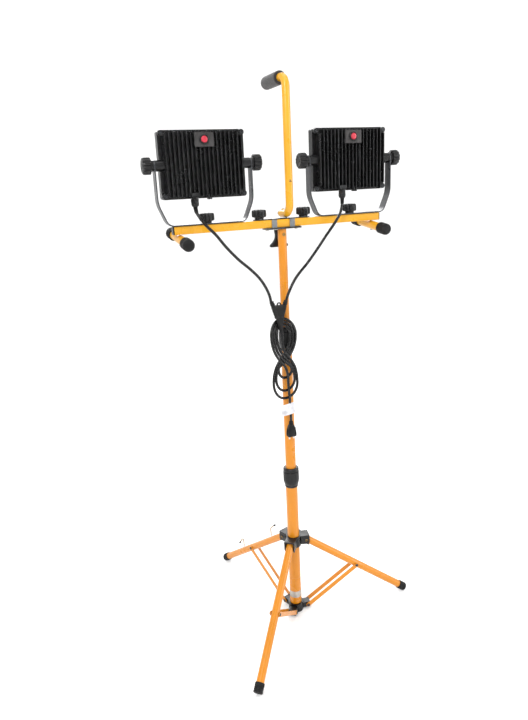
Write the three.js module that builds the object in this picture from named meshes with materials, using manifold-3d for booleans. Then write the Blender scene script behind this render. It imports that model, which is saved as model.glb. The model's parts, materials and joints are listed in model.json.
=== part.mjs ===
// Twin-head work light on a folding tripod with a three-stage telescoping mast.
// Millimetres, +Z up. The origin is on the ground under the mast, the crossbar runs along X,
// the lit fronts of the heads face +Y and their finned backs face -Y.
import * as THREE from 'three';
import { mergeVertices } from 'three/addons/utils/BufferGeometryUtils.js';
import Module from 'manifold-3d';

const wasm = await Module();
wasm.setup();

const GAP = 0.3; // clearance between pieces that touch
const TUBE_SIDES = 24;
const ROD_SIDES = 14;

// Mast: three tubes that slide in one another, each held by a twist collar.
const LOWER_R = 17.5;
const MIDDLE_R = 15.2;
const TOP_R = 11.45;
const MAST_WALL = 1.4;
const LOWER_TUBE_Z = [5.3, 447];
const MIDDLE_TUBE_Z = [349, 862];
const TOP_TUBE_Z = [760, 1161];
const LOWER_COLLAR = { z: [431, 484], radius: 23 };
const UPPER_COLLAR = { z: [843.5, 902.4], radius: 19.5 };

// Tripod: legs hang from a hub that slides on the lower tube, braces from a hub at its foot.
const LEG_AZIMUTHS = [-41.25, 78.75, 198.75]; // degrees from -Y towards +X
const PIVOT_RADIUS = 36.6; // of the leg pins and the brace pins, from the mast's axis
const LEG_PIVOT_Z = 242.5;
const BRACE_PIVOT_Z = 14;
const LEG_TILT = THREE.MathUtils.degToRad(54.07); // from straight down
const BRACE_LENGTH = 194.7;
const LEG_R = 11;
const LEG_WALL = 1.2;
const FOOT_R = 13;
const FOOT_LENGTH = 26;
const LEG_LENGTH = (LEG_PIVOT_Z - FOOT_R * Math.sin(LEG_TILT)) / Math.cos(LEG_TILT);
const HUB_SLEEVE_R = 22.5;
const PIN_R = 3.5;
const BRACE_INNER = 11.6; // from the leg's middle plane to a brace bar
const BRACE_THICK = 2.5;
const BRACE_WIDE = 12.5;
const HUB_KNOB_AZIMUTH = 138.75;
const HOOK_PLACES = [0.21, 0.66]; // of the leg's length, from its pin
const HOOK_WIRES = [
  [[0, 0, 0], [0, 0, 14], [0, 0, 27], [-3, 0, 31], [-11, 0, 39], [-20, 0, 47]],
  [[0, 0, 0], [0, 0, 12], [0, 0, 20], [3, 0, 25], [8, 0, 24], [16, 0, 12], [22, 0, 3]],
]; // x runs outwards along the leg and z up

// Crossbar and what it stands on when it is taken off the mast.
const BAR_Z = 1175.6;
const BAR_WIDE = 20;
const BAR_WALL = 1.5;
const BAR_HALF = 286;
const STAND_X = [-270, 270];
const STAND_R = 11;
const STAND_Y = [-66, 85];
const STAND_TILT = THREE.MathUtils.degToRad(7.5); // the front end is the lower one
const CAP_R = 15;
const CAP_LENGTH = 34;
const CAP_DEPTH = 22; // of the socket that the tube fills

// Bracket that joins the crossbar to the mast.
const PLATE_THICK = 4;
const PLATE_HALF = 49;
const STRAP_X = 25;
const STRAP_WIDE = 14;
const STRAP_THICK = 2;
const TOP_PLATE_HALF = 76;
const TOP_PLATE_THICK = 2.5;
const BAR_KNOB_X = 62;
const STEM_R = 3;
const KNOB_R = 18.5;
const KNOB_TALL = 24;

// Carrying handle.
const HANDLE_X = 15;
const HANDLE_R = 10;
const HANDLE_WALL = 1.3;
const HANDLE_Y = -20;
const HANDLE_BEND = 25;
const HANDLE_TOP_Z = 1523;
const HANDLE_END_Y = 96;
const GRIP_Y = [10, 100];
const GRIP_R = 16.5;

// Lamp heads and the yokes that hold them.
const HEAD_X = [-200, 200];
const TILT_Z = 1326.6;
const HEAD_HALF_W = 106.4;
const HEAD_HALF_H = 78.6;
const FIN_COUNT = 19;
const FIN_THICK = 2.4;
const BODY_HALF_W = 97;
const BODY_HALF_H = 74;
const HOUSING_Y = { fins: -21, back: -9, flange: 1, front: 8 };
const CAVITY = { halfW: 86, halfH: 61, floor: -5 };
const BEZEL_Y = [HOUSING_Y.front + GAP, 22];
const LENS_Y = [14.3, 18];
const PAD = { halfW: 24, low: 38, high: 71, back: -23 };
const BUTTON_Z = 55;
const BUTTON_R = 8;
const BUTTON_Y = [-27, -17];
const BUTTON_SOCKET_Y = -12.5;
const GLAND_X = -32; // from the head's middle
const GLAND_Y = -18;
const GLAND_TOP = -72.4;
const GLAND_LENGTH = 27;
const BOSS_R = 13;
const YOKE_WIDE = 25;
const YOKE_THICK = 2.8;
const YOKE_HALF = 120;
const YOKE_BASE_HALF = 98;
const YOKE_RISE = 52; // from the base to where the arms turn upright
const TILT_KNOB_R = 20;
const TILT_KNOB_TALL = 26;
const TILT_STEM_R = 3.6;

// Cord.
const CORD_R = 3.75;
const CORD_Y = -36;
const SWIVEL_Z = BAR_Z + BAR_WIDE / 2 + 0.15; // where a lead passes from the yoke's side to the mast's
const SPLITTER_Z = [906, 978];
const SPLITTER_SLEEVES = [[-60.5, -46.5], [-19, -4.5]]; // across each sleeve's mouth
const SPLITTER_NECK = [-37, -24];
const SPLITTER_EYE = [-32.5, 968.5];
const SPLITTER_HALF_THICK = 6.5;
const BUNDLE = { x: -22, halfW: 40, z: [704.7, 934], thick: 20 };
const BUNDLE_NOTCH = [[-39, 905], [-22, 905], [-17.5, 933], [-4, 950], [-60, 950], [-43, 933]];
const PLUG = { x: -10, z: [597, 641], neck: 6.5, halfW: 13, thick: 20, pinEnd: 588, pinX: 6.5, pinR: 2.2 };
const LEAD_POINTS = [
  [
    [-232, -18, 1236], [-231.5, -18, 1226], [-227, -20, 1217], [-220, -27, 1200], [-209, -34, 1181],
    [-191, -36, 1161], [-167, -36, 1130], [-138, -36, 1098], [-107, -36, 1070], [-85, -36, 1047],
    [-69, -36, 1023], [-58, -36, 998], [-53, -36, 976],
  ],
  [
    [168, -18, 1236], [168, -18, 1226], [166.5, -19, 1217], [162, -24, 1204], [152, -31, 1187],
    [133, -36, 1165], [108.5, -36, 1136.5], [84.8, -36, 1107.4], [54.6, -36, 1072.8], [28, -36, 1046.4],
    [12.4, -36, 1027], [-0.5, -36, 1004.5], [-9, -36, 986], [-12, -36, 976],
  ],
];
const TAIL_POINTS = [
  [-13, -36, 706], [-12, -36, 692], [-11, -36, 676], [-10, -36, 660], [-10, -36, 640],
];

const AXES = {
  x: new THREE.Matrix4().makeBasis(
    new THREE.Vector3(0, 1, 0), new THREE.Vector3(0, 0, 1), new THREE.Vector3(1, 0, 0),
  ),
  y: new THREE.Matrix4().makeBasis(
    new THREE.Vector3(0, 0, 1), new THREE.Vector3(1, 0, 0), new THREE.Vector3(0, 1, 0),
  ),
  z: new THREE.Matrix4(),
};

const group = new THREE.Group();

const MATERIALS = {
  yellow: { color: 0xf0a020, roughness: 0.4, metalness: 0.1 },
  plastic: { color: 0x1b1b1d, roughness: 0.55, metalness: 0 },
  rubber: { color: 0x151516, roughness: 0.85, metalness: 0 },
  foam: { color: 0x232325, roughness: 0.95, metalness: 0 },
  casting: { color: 0x17181a, roughness: 0.45, metalness: 0.3 },
  steel: { color: 0x6d7076, roughness: 0.4, metalness: 0.8 },
  yokeGrey: { color: 0x3a3d42, roughness: 0.45, metalness: 0.5 },
  wire: { color: 0xb98a3a, roughness: 0.4, metalness: 0.7 },
  glass: { color: 0xdfe8ea, roughness: 0.05, metalness: 0 },
  board: { color: 0xe8e6df, roughness: 0.5, metalness: 0 },
  red: { color: 0xc8202c, roughness: 0.4, metalness: 0 },
};

function add(name, geometry, material) {
  const mesh = new THREE.Mesh(geometry, new THREE.MeshStandardMaterial(MATERIALS[material]));
  mesh.name = name;
  group.add(mesh);
  return mesh;
}

// Solids for booleans.
function solid(geometry) {
  const bare = geometry.clone();
  bare.deleteAttribute('normal');
  bare.deleteAttribute('uv');
  const merged = mergeVertices(bare, 1e-4);
  return new wasm.Manifold(new wasm.Mesh({
    numProp: 3,
    vertProperties: new Float32Array(merged.attributes.position.array),
    triVerts: new Uint32Array(merged.index.array),
  }));
}

function geometryOf(manifold) {
  const mesh = manifold.getMesh();
  const geometry = new THREE.BufferGeometry();
  geometry.setAttribute('position', new THREE.BufferAttribute(new Float32Array(mesh.vertProperties), 3));
  geometry.setIndex(new THREE.BufferAttribute(new Uint32Array(mesh.triVerts), 1));
  geometry.computeVertexNormals();
  return geometry;
}

function join(...geometries) {
  const [first, ...rest] = geometries.map(solid);
  return geometryOf(rest.reduce((sum, next) => sum.add(next), first));
}

function cut(geometry, ...tools) {
  return geometryOf(tools.map(solid).reduce((left, tool) => left.subtract(tool), solid(geometry)));
}

function common(geometry, tool) {
  return geometryOf(solid(geometry).intersect(solid(tool)));
}

// Plain shapes.
function block([x0, x1], [y0, y1], [z0, z1]) {
  const geometry = new THREE.BoxGeometry(x1 - x0, y1 - y0, z1 - z0);
  return geometry.translate((x0 + x1) / 2, (y0 + y1) / 2, (z0 + z1) / 2);
}

// A round rod along an axis, from low to high, its middle at the other two coordinates.
function rod(radius, [low, high], axis, [a, b], sides = ROD_SIDES) {
  const geometry = new THREE.CylinderGeometry(radius, radius, high - low, sides);
  geometry.rotateX(Math.PI / 2).translate(0, 0, (low + high) / 2).applyMatrix4(AXES[axis]);
  if (axis === 'x') {
    return geometry.translate(0, a, b);
  }
  return axis === 'y' ? geometry.translate(a, 0, b) : geometry.translate(a, b, 0);
}

// A turned piece about Z: its profile is a list of [radius, height], outer wall going up.
function turned(profile, sides = TUBE_SIDES) {
  const points = profile.map(([radius, height]) => new THREE.Vector2(radius, height));
  return new THREE.LatheGeometry(points, sides).rotateX(Math.PI / 2);
}

function ring(outer, inner, [low, high], sides = TUBE_SIDES) {
  return turned([[inner, low], [outer, low], [outer, high], [inner, high], [inner, low]], sides);
}

function extruded(shape, depth, segments = 6) {
  return new THREE.ExtrudeGeometry(shape, { depth, bevelEnabled: false, curveSegments: segments });
}

// An outline in X and Z, extruded along Y from low to high.
function slabXZ(shape, [low, high], segments = 6) {
  return extruded(shape, high - low, segments).rotateX(Math.PI / 2).translate(0, high, 0);
}

// An outline in Y and Z, extruded along X from low to high.
function slabYZ(shape, [low, high], segments = 6) {
  return extruded(shape, high - low, segments).translate(0, 0, low).applyMatrix4(AXES.x);
}

function outline(points) {
  return new THREE.Shape(points.map(([x, y]) => new THREE.Vector2(x, y)));
}

function roundedRect([x0, x1], [y0, y1], radius, shape = new THREE.Shape()) {
  shape.moveTo(x0 + radius, y0);
  shape.lineTo(x1 - radius, y0);
  shape.absarc(x1 - radius, y0 + radius, radius, -Math.PI / 2, 0);
  shape.lineTo(x1, y1 - radius);
  shape.absarc(x1 - radius, y1 - radius, radius, 0, Math.PI / 2);
  shape.lineTo(x0 + radius, y1);
  shape.absarc(x0 + radius, y1 - radius, radius, Math.PI / 2, Math.PI);
  shape.lineTo(x0, y0 + radius);
  shape.absarc(x0 + radius, y0 + radius, radius, Math.PI, Math.PI * 1.5);
  return shape;
}

function circle(radius, sides) {
  return outline(Array.from({ length: sides }, (_, i) => {
    const angle = (i / sides) * Math.PI * 2;
    return [radius * Math.cos(angle), radius * Math.sin(angle)];
  }));
}

function curveOf(points) {
  return new THREE.CatmullRomCurve3(points.map((point) => new THREE.Vector3(...point)), false, 'centripetal');
}

// A curve that ExtrudeGeometry steps through point by point.
function pointByPoint(points) {
  const curve = curveOf(points);
  curve.getUtoTmapping = (u) => u;
  return curve;
}

function alongCurve(section, curve, steps) {
  return new THREE.ExtrudeGeometry(section, { steps, extrudePath: curve, bevelEnabled: false });
}

// A fluted knob about Z, its face at z = 0, with a neck and a threaded stem below.
function knob(radius, tall, neck, stemRadius, stemLength) {
  const flutes = 10;
  const points = [];
  for (let i = 0; i < flutes; i += 1) {
    for (const [step, reach] of [[0, 0.91], [0.25, 1.01], [0.75, 1.01]]) {
      const angle = ((i + step) / flutes) * Math.PI * 2;
      points.push([radius * reach * Math.cos(angle), radius * reach * Math.sin(angle)]);
    }
  }
  return join(
    extruded(outline(points), tall - neck).translate(0, 0, neck),
    rod(radius * 0.62, [0, neck + 1], 'z', [0, 0]),
    rod(stemRadius, [-stemLength, 1], 'z', [0, 0]),
  );
}

// Turns a piece drawn in the plane of X (outwards) and Z about the mast to a leg's azimuth.
function placeAt(geometry, azimuth) {
  return geometry.rotateZ(THREE.MathUtils.degToRad(azimuth - 90));
}

// Mast.
function collar({ z: [low, high], radius }, tubeR, innerR, tubeTop) {
  const shoulder = tubeTop + GAP;
  return turned([
    [tubeR + GAP, low], [radius - 2.5, low], [radius - 0.6, low + 3], [radius, low + 10],
    [radius, high - 12], [radius - 1.2, high - 5], [radius - 3, high], [innerR + GAP, high],
    [innerR + GAP, shoulder], [tubeR + GAP, shoulder], [tubeR + GAP, low],
  ], 24);
}

function buildMast() {
  add('lower_mast_tube', ring(LOWER_R, LOWER_R - MAST_WALL, LOWER_TUBE_Z, 32), 'yellow');
  add('middle_mast_tube', ring(MIDDLE_R, MIDDLE_R - MAST_WALL, MIDDLE_TUBE_Z, 32), 'yellow');
  add('top_mast_tube', ring(TOP_R, TOP_R - MAST_WALL, TOP_TUBE_Z, 32), 'yellow');
  add('lower_twist_collar', collar(LOWER_COLLAR, LOWER_R, MIDDLE_R, LOWER_TUBE_Z[1]), 'plastic');
  add('upper_twist_collar', collar(UPPER_COLLAR, MIDDLE_R, TOP_R, MIDDLE_TUBE_Z[1]), 'plastic');
}

// Tripod.
function hubCheek(side) {
  const inner = LEG_R + 0.5;
  const cheek = outline([
    [19, 233], [37, 231], [42, 227], [46, 237], [46, 257], [19, 257],
  ]);
  const slab = slabXZ(cheek, [inner, inner + 4]);
  return side > 0 ? slab : slab.translate(0, -2 * inner - 4, 0);
}

function buildLegHub() {
  const top = 260;
  const webZ = [256, top];
  const pieces = [ring(HUB_SLEEVE_R, LOWER_R + 0.4, [227, top], 32)];
  for (const azimuth of LEG_AZIMUTHS) {
    pieces.push(placeAt(block([19, 46], [-15.5, 15.5], webZ), azimuth));
    for (const side of [-1, 1]) {
      pieces.push(placeAt(hubCheek(side), azimuth));
    }
    pieces.push(placeAt(rod(PIN_R, [-17.5, 17.5], 'y', [PIVOT_RADIUS, LEG_PIVOT_Z]), azimuth));
  }
  pieces.push(placeAt(rod(8, [19, 29], 'x', [0, 244]), HUB_KNOB_AZIMUTH));
  const bores = [
    rod(LOWER_R + 0.4, [220, 270], 'z', [0, 0], 32),
    placeAt(rod(STEM_R + GAP, [10, 40], 'x', [0, 244]), HUB_KNOB_AZIMUTH),
  ];
  add('leg_hub', cut(join(...pieces), ...bores), 'plastic');
  const lock = knob(12, 17, 4, STEM_R, 10.8).applyMatrix4(AXES.x).translate(29 + GAP, 0, 244);
  add('hub_lock_knob', placeAt(lock, HUB_KNOB_AZIMUTH), 'plastic');
}

function buildBraceHub() {
  const floor = 5;
  const pieces = [
    ring(HUB_SLEEVE_R, LOWER_R + GAP, [0, 28], 32),
    rod(HUB_SLEEVE_R - 1, [0, floor], 'z', [0, 0], 32),
  ];
  const holes = [];
  for (const azimuth of LEG_AZIMUTHS) {
    pieces.push(placeAt(block([19, 42.5], [-11, 11], [6, 23]), azimuth));
    holes.push(placeAt(rod(PIN_R + GAP, [-14, 14], 'y', [PIVOT_RADIUS, BRACE_PIVOT_Z]), azimuth));
  }
  const bore = rod(LOWER_R + GAP, [floor, 40], 'z', [0, 0], 32);
  add('brace_hub', cut(join(...pieces), bore, ...holes), 'plastic');
}

// A leg, drawn straight down from its pin at the origin.
function legTube() {
  const above = 6;
  const tube = ring(LEG_R, LEG_R - LEG_WALL, [-LEG_LENGTH + 3, above], 20);
  return cut(tube, rod(PIN_R + GAP, [-20, 20], 'y', [0, 0]));
}

function legFoot() {
  const mouth = -LEG_LENGTH + FOOT_LENGTH;
  const floor = -LEG_LENGTH + 3 - GAP;
  return turned([
    [0, -LEG_LENGTH], [FOOT_R, -LEG_LENGTH], [FOOT_R, mouth - 2], [FOOT_R - 0.8, mouth],
    [LEG_R + GAP, mouth], [LEG_R + GAP, floor], [0, floor],
  ], 20);
}

function placeOnLeg(geometry, azimuth) {
  return placeAt(geometry.rotateY(-LEG_TILT).translate(PIVOT_RADIUS, 0, LEG_PIVOT_Z), azimuth);
}

// Two flat bars on one pin, drawn straight up from the pin at the origin.
function brace() {
  const half = BRACE_WIDE / 2;
  const bar = new THREE.Shape();
  bar.absarc(0, 0, half, Math.PI, Math.PI * 2);
  bar.absarc(0, BRACE_LENGTH, half, 0, Math.PI);
  const outer = BRACE_INNER + BRACE_THICK;
  return join(
    slabXZ(bar, [BRACE_INNER, outer]),
    slabXZ(bar, [-outer, -BRACE_INNER]),
    rod(PIN_R, [-outer - 1.5, outer + 1.5], 'y', [0, 0]),
  );
}

// A wire hook for the wound cord, standing on a leg.
function cordHook(points) {
  return alongCurve(circle(1.8, 8), curveOf(points), 16);
}

function buildTripod() {
  buildLegHub();
  buildBraceHub();
  LEG_AZIMUTHS.forEach((azimuth, i) => {
    add(`leg_tube_${i + 1}`, placeOnLeg(legTube(), azimuth), 'yellow');
    add(`leg_foot_${i + 1}`, placeOnLeg(legFoot(), azimuth), 'rubber');
    const bars = brace().rotateY(LEG_TILT).translate(PIVOT_RADIUS, 0, BRACE_PIVOT_Z);
    add(`brace_${i + 1}`, placeAt(bars, azimuth), 'yellow');
  });
  const surface = (LEG_R + GAP) / Math.sin(LEG_TILT) + 1.6;
  HOOK_PLACES.forEach((place, i) => {
    const reach = place * LEG_LENGTH;
    const x = PIVOT_RADIUS + reach * Math.sin(LEG_TILT);
    const z = LEG_PIVOT_Z - reach * Math.cos(LEG_TILT) + surface;
    const hook = cordHook(HOOK_WIRES[i]).translate(x, 0, z);
    add(`cord_hook_${i + 1}`, placeAt(hook, LEG_AZIMUTHS[2]), 'wire');
  });
}

// Crossbar, its stand tubes and the bracket.
function standCap(tubeEnd) {
  const reach = Math.abs(tubeEnd);
  const end = reach + CAP_LENGTH - CAP_DEPTH;
  const mouth = reach - CAP_DEPTH;
  const cap = turned([
    [0, reach + GAP], [STAND_R + GAP, reach + GAP], [STAND_R + GAP, mouth], [CAP_R - 1, mouth],
    [CAP_R, mouth + 3], [CAP_R, end - 7], [CAP_R * 0.86, end - 2.6], [CAP_R * 0.5, end - 0.5], [0, end],
  ], 16);
  return cap.rotateX(-Math.sign(tubeEnd) * Math.PI / 2);
}

function buildCrossbar() {
  const half = BAR_WIDE / 2;
  const section = roundedRect([-half, half], [BAR_Z - half, BAR_Z + half], 2);
  const bore = half - BAR_WALL;
  section.holes.push(roundedRect([-bore, bore], [BAR_Z - bore, BAR_Z + bore], 1, new THREE.Path()));
  const holes = [-BAR_KNOB_X, BAR_KNOB_X, ...HEAD_X].map((x) => (
    rod(STEM_R + GAP, [BAR_Z - 20, BAR_Z + 20], 'z', [x, 0])
  ));
  add('crossbar', cut(slabYZ(section, [-BAR_HALF, BAR_HALF], 2), ...holes), 'yellow');
  const standZ = BAR_Z - half - GAP - half * Math.tan(STAND_TILT) - STAND_R / Math.cos(STAND_TILT);
  const [front, rear] = STAND_Y;
  STAND_X.forEach((x, i) => {
    const side = ['left', 'right'][i];
    const place = (geometry) => geometry.rotateX(STAND_TILT).translate(x, 0, standZ);
    const tube = ring(STAND_R, STAND_R - LEG_WALL, STAND_Y, 20).rotateX(-Math.PI / 2);
    add(`stand_tube_${side}`, place(tube), 'yellow');
    add(`stand_cap_${side}_rear`, place(standCap(rear)), 'rubber');
    add(`stand_cap_${side}_front`, place(standCap(front)), 'rubber');
  });
}

function buildBracket() {
  const half = BAR_WIDE / 2;
  const under = BAR_Z - half - GAP;
  const over = BAR_Z + half + GAP;
  const outer = half + GAP + STRAP_THICK;
  const plates = [under - PLATE_THICK, over + TOP_PLATE_THICK];
  const straps = [-STRAP_X, STRAP_X].map((x) => cut(
    block([x - STRAP_WIDE / 2, x + STRAP_WIDE / 2], [-outer, outer], plates),
    block([x - STRAP_WIDE, x + STRAP_WIDE], [-half - GAP, half + GAP], [under, over]),
  ));
  const body = join(
    block([-PLATE_HALF, PLATE_HALF], [-outer - 4, outer + 2], [under - PLATE_THICK, under]),
    block([-TOP_PLATE_HALF, TOP_PLATE_HALF], [-half + 1, half - 1], [over, over + TOP_PLATE_THICK]),
    ...straps,
    rod(TOP_R - MAST_WALL - GAP, [under - PLATE_THICK - 34, under - 1], 'z', [0, 0], 20),
  );
  const stems = [-BAR_KNOB_X, BAR_KNOB_X].map((x) => rod(STEM_R + GAP, [over - 5, over + 5], 'z', [x, 0]));
  add('mast_bracket', cut(body, ...stems), 'steel');
  [-1, 1].forEach((side) => {
    const piece = knob(KNOB_R, KNOB_TALL, 5, STEM_R, BAR_WIDE);
    const name = side < 0 ? 'bar_knob_left' : 'bar_knob_right';
    add(name, piece.translate(side * BAR_KNOB_X, 0, over + TOP_PLATE_THICK + GAP), 'plastic');
  });
}

// Flared hand grip behind the mast that clamps the bracket's spigot in the top tube.
function buildClampHandle() {
  const top = 1158;
  const bottom = 1113;
  const shape = new THREE.Shape();
  shape.moveTo(-13, top);
  shape.quadraticCurveTo(-9, 1138, -26, bottom + 4);
  shape.quadraticCurveTo(-27, bottom, -22, bottom);
  shape.lineTo(22, bottom);
  shape.quadraticCurveTo(27, bottom, 26, bottom + 4);
  shape.quadraticCurveTo(9, 1138, 13, top);
  const grip = join(
    slabXZ(shape, [18, 29]),
    rod(8, [TOP_R + 1, 19], 'y', [0, 1138]),
  );
  add('clamp_handle', grip, 'plastic');
}

// A quarter turn in the handle's plane, from one angle to the next about a middle.
function quarterTurn([y, z], radius, from, to) {
  const count = 5;
  return Array.from({ length: count + 1 }, (_, i) => {
    const angle = THREE.MathUtils.degToRad(from + ((to - from) * i) / count);
    return [HANDLE_X, y + radius * Math.cos(angle), z + radius * Math.sin(angle)];
  });
}

function buildHandle() {
  const bottom = BAR_Z + BAR_WIDE / 2 + 2 * GAP + TOP_PLATE_THICK + HANDLE_R;
  const bendY = HANDLE_Y + HANDLE_BEND;
  const points = [
    [HANDLE_X, 32, bottom],
    ...quarterTurn([bendY, bottom + HANDLE_BEND], HANDLE_BEND, 270, 180),
    ...quarterTurn([bendY, HANDLE_TOP_Z - HANDLE_BEND], HANDLE_BEND, 180, 90),
    [HANDLE_X, HANDLE_END_Y, HANDLE_TOP_Z],
  ];
  const section = circle(HANDLE_R, 16);
  section.holes.push(new THREE.Path(circle(HANDLE_R - HANDLE_WALL, 16).getPoints()));
  add('handle_tube', alongCurve(section, pointByPoint(points), points.length - 1), 'yellow');
  const [near, far] = GRIP_Y;
  const floor = HANDLE_END_Y + GAP;
  const grip = turned([
    [0, floor], [HANDLE_R + GAP, floor], [HANDLE_R + GAP, near], [GRIP_R - 1.5, near],
    [GRIP_R, near + 2], [GRIP_R, far - 2], [GRIP_R - 2, far], [0, far],
  ], 20);
  add('handle_grip', grip.rotateX(-Math.PI / 2).translate(HANDLE_X, 0, HANDLE_TOP_Z), 'foam');
}

// Heads. Each is drawn about its own middle, then moved to its place.
function fins() {
  const pitch = (2 * BODY_HALF_W - FIN_THICK - 4) / (FIN_COUNT - 1);
  return Array.from({ length: FIN_COUNT }, (_, i) => {
    const x = -BODY_HALF_W + 2 + i * pitch;
    const short = Math.abs(x + FIN_THICK / 2) > BODY_HALF_W - 12 ? 10 : 0;
    const reach = BODY_HALF_H - 1 - short;
    return block([x, x + FIN_THICK], [HOUSING_Y.fins, HOUSING_Y.back + 1], [-reach, reach]);
  });
}

function housing() {
  const flange = roundedRect([-HEAD_HALF_W, HEAD_HALF_W], [-HEAD_HALF_H, HEAD_HALF_H], 7);
  const shell = roundedRect([-BODY_HALF_W, BODY_HALF_W], [-BODY_HALF_H, BODY_HALF_H], 16);
  const corners = [-1, 1].flatMap((sx) => [-1, 1].map((sz) => (
    rod(7, [-6, HOUSING_Y.flange + 1], 'y', [sx * (HEAD_HALF_W - 7.5), sz * (HEAD_HALF_H - 7.5)], 16)
  )));
  const bosses = [-1, 1].map((side) => {
    const ends = [BODY_HALF_W - 8, YOKE_HALF - YOKE_THICK / 2 - GAP];
    const span = ends.map((x) => side * x).sort((a, b) => a - b);
    return rod(BOSS_R, span, 'x', [0, 0], 18);
  });
  const ribs = [2, 8].map((x) => block([x, x + 2.5], [-22, -8], [-HEAD_HALF_H - 3, -BODY_HALF_H + 4]));
  const seatZ = [-BODY_HALF_H, -BODY_HALF_H + 9];
  const seat = block([GLAND_X - 10, GLAND_X + 10], [GLAND_Y - 9, HOUSING_Y.back + 1], seatZ);
  const body = join(
    slabXZ(flange, [HOUSING_Y.flange, HOUSING_Y.front], 3),
    slabXZ(shell, [HOUSING_Y.back, HOUSING_Y.flange + 1], 4),
    block([-PAD.halfW, PAD.halfW], [PAD.back, HOUSING_Y.back + 1], [PAD.low, PAD.high]),
    rod(11.5, [PAD.back - 1.5, PAD.back + 1], 'y', [0, BUTTON_Z], 20),
    ...fins(),
    ...corners,
    ...bosses,
    ...ribs,
    seat,
  );
  const screwBores = [-1, 1].map((side) => {
    const span = [YOKE_HALF - 24, YOKE_HALF + 2].map((x) => side * x).sort((a, b) => a - b);
    return rod(TILT_STEM_R + GAP, span, 'x', [0, 0]);
  });
  const { halfW, halfH, floor } = CAVITY;
  const bezelSide = HEAD_HALF_W + GAP;
  return cut(
    body,
    block([-bezelSide, bezelSide], [HOUSING_Y.front, BEZEL_Y[1]], [-HEAD_HALF_H, HEAD_HALF_H]),
    block([-halfW, halfW], [floor, HOUSING_Y.front + 1], [-halfH, halfH]),
    rod(BUTTON_R + GAP, [PAD.back - 5, BUTTON_SOCKET_Y], 'y', [0, BUTTON_Z], 20),
    ...screwBores,
  );
}

function bezel() {
  const frame = roundedRect([-HEAD_HALF_W, HEAD_HALF_W], [-HEAD_HALF_H, HEAD_HALF_H], 7);
  const window = { halfW: CAVITY.halfW, halfH: CAVITY.halfH };
  return cut(
    slabXZ(frame, BEZEL_Y, 3),
    block([-window.halfW, window.halfW], [0, 40], [-window.halfH, window.halfH]),
    block([-window.halfW - 5, window.halfW + 5], [0, LENS_Y[1] + GAP], [-window.halfH - 5, window.halfH + 5]),
  );
}

function lens() {
  const halfW = CAVITY.halfW + 4.5;
  const halfH = CAVITY.halfH + 4.5;
  return block([-halfW, halfW], LENS_Y, [-halfH, halfH]);
}

function ledBoard() {
  const face = CAVITY.floor + GAP + 1.6;
  const chips = [];
  for (let column = -3; column <= 3; column += 1) {
    for (let row = -2; row <= 2; row += 1) {
      const [x, z] = [column * 21, row * 19];
      chips.push(block([x - 2.5, x + 2.5], [face - 0.5, face + 0.9], [z - 2.5, z + 2.5]));
    }
  }
  return join(block([-80, 80], [CAVITY.floor + GAP, face], [-52, 52]), ...chips);
}

// The cord gland. Its outer end is cut round about the tilt axis, so that it swings clear of the lead.
function gland() {
  const top = GLAND_TOP;
  const nut = new THREE.CylinderGeometry(8.5, 8.5, 11, 6).rotateX(Math.PI / 2).translate(0, 0, top - 12);
  const body = join(
    rod(7.4, [top - 24, top - 1.8], 'z', [0, 0], 16),
    nut,
    rod(5.6, [top - GLAND_LENGTH - 2, top - 20], 'z', [0, 0], 16),
  ).translate(GLAND_X, GLAND_Y, 0);
  return common(body, rod(glandReach(), [-HEAD_HALF_W, HEAD_HALF_W], 'x', [0, 0], 180));
}

function glandReach() {
  return Math.hypot(GLAND_Y, GLAND_TOP - GLAND_LENGTH);
}

function button() {
  return join(
    rod(BUTTON_R, [BUTTON_Y[0] + 1, BUTTON_Y[1]], 'y', [0, BUTTON_Z], 20),
    rod(BUTTON_R - 1.4, BUTTON_Y, 'y', [0, BUTTON_Z], 20),
  );
}

// A flat strip bent to a U: the half outline is given from the base's middle to the arm's top.
function yoke() {
  const base = BAR_Z + BAR_WIDE / 2 + GAP + YOKE_THICK / 2 - TILT_Z;
  const top = YOKE_WIDE / 2;
  const corners = [
    [-YOKE_HALF, top], [-YOKE_HALF, base + YOKE_RISE], [-YOKE_BASE_HALF, base],
    [YOKE_BASE_HALF, base], [YOKE_HALF, base + YOKE_RISE], [YOKE_HALF, top],
  ].map(([x, z]) => new THREE.Vector2(x, z));
  const middle = [corners[0]];
  for (let i = 1; i < corners.length - 1; i += 1) {
    const into = corners[i - 1].clone().sub(corners[i]).setLength(14).add(corners[i]);
    const out = corners[i + 1].clone().sub(corners[i]).setLength(14).add(corners[i]);
    middle.push(...new THREE.QuadraticBezierCurve(into, corners[i], out).getPoints(5));
  }
  middle.push(corners[corners.length - 1]);
  const side = (offset) => middle.map((point, i) => {
    const before = middle[Math.max(i - 1, 0)];
    const after = middle[Math.min(i + 1, middle.length - 1)];
    const normal = after.clone().sub(before).normalize();
    return [point.x - normal.y * offset, point.y + normal.x * offset];
  });
  const strip = outline([...side(-YOKE_THICK / 2), ...side(YOKE_THICK / 2).reverse()]);
  const half = YOKE_WIDE / 2;
  const endShape = new THREE.Shape();
  endShape.moveTo(-half, base - 10);
  endShape.lineTo(half, base - 10);
  endShape.lineTo(half, 0);
  endShape.absarc(0, 0, half, 0, Math.PI);
  return cut(
    common(slabXZ(strip, [-half, half]), slabYZ(endShape, [-150, 150])),
    rod(TILT_STEM_R + 0.6, [-150, 150], 'x', [0, 0]),
    rod(STEM_R + GAP, [base - 10, base + 10], 'z', [0, 0]),
  );
}

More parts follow.
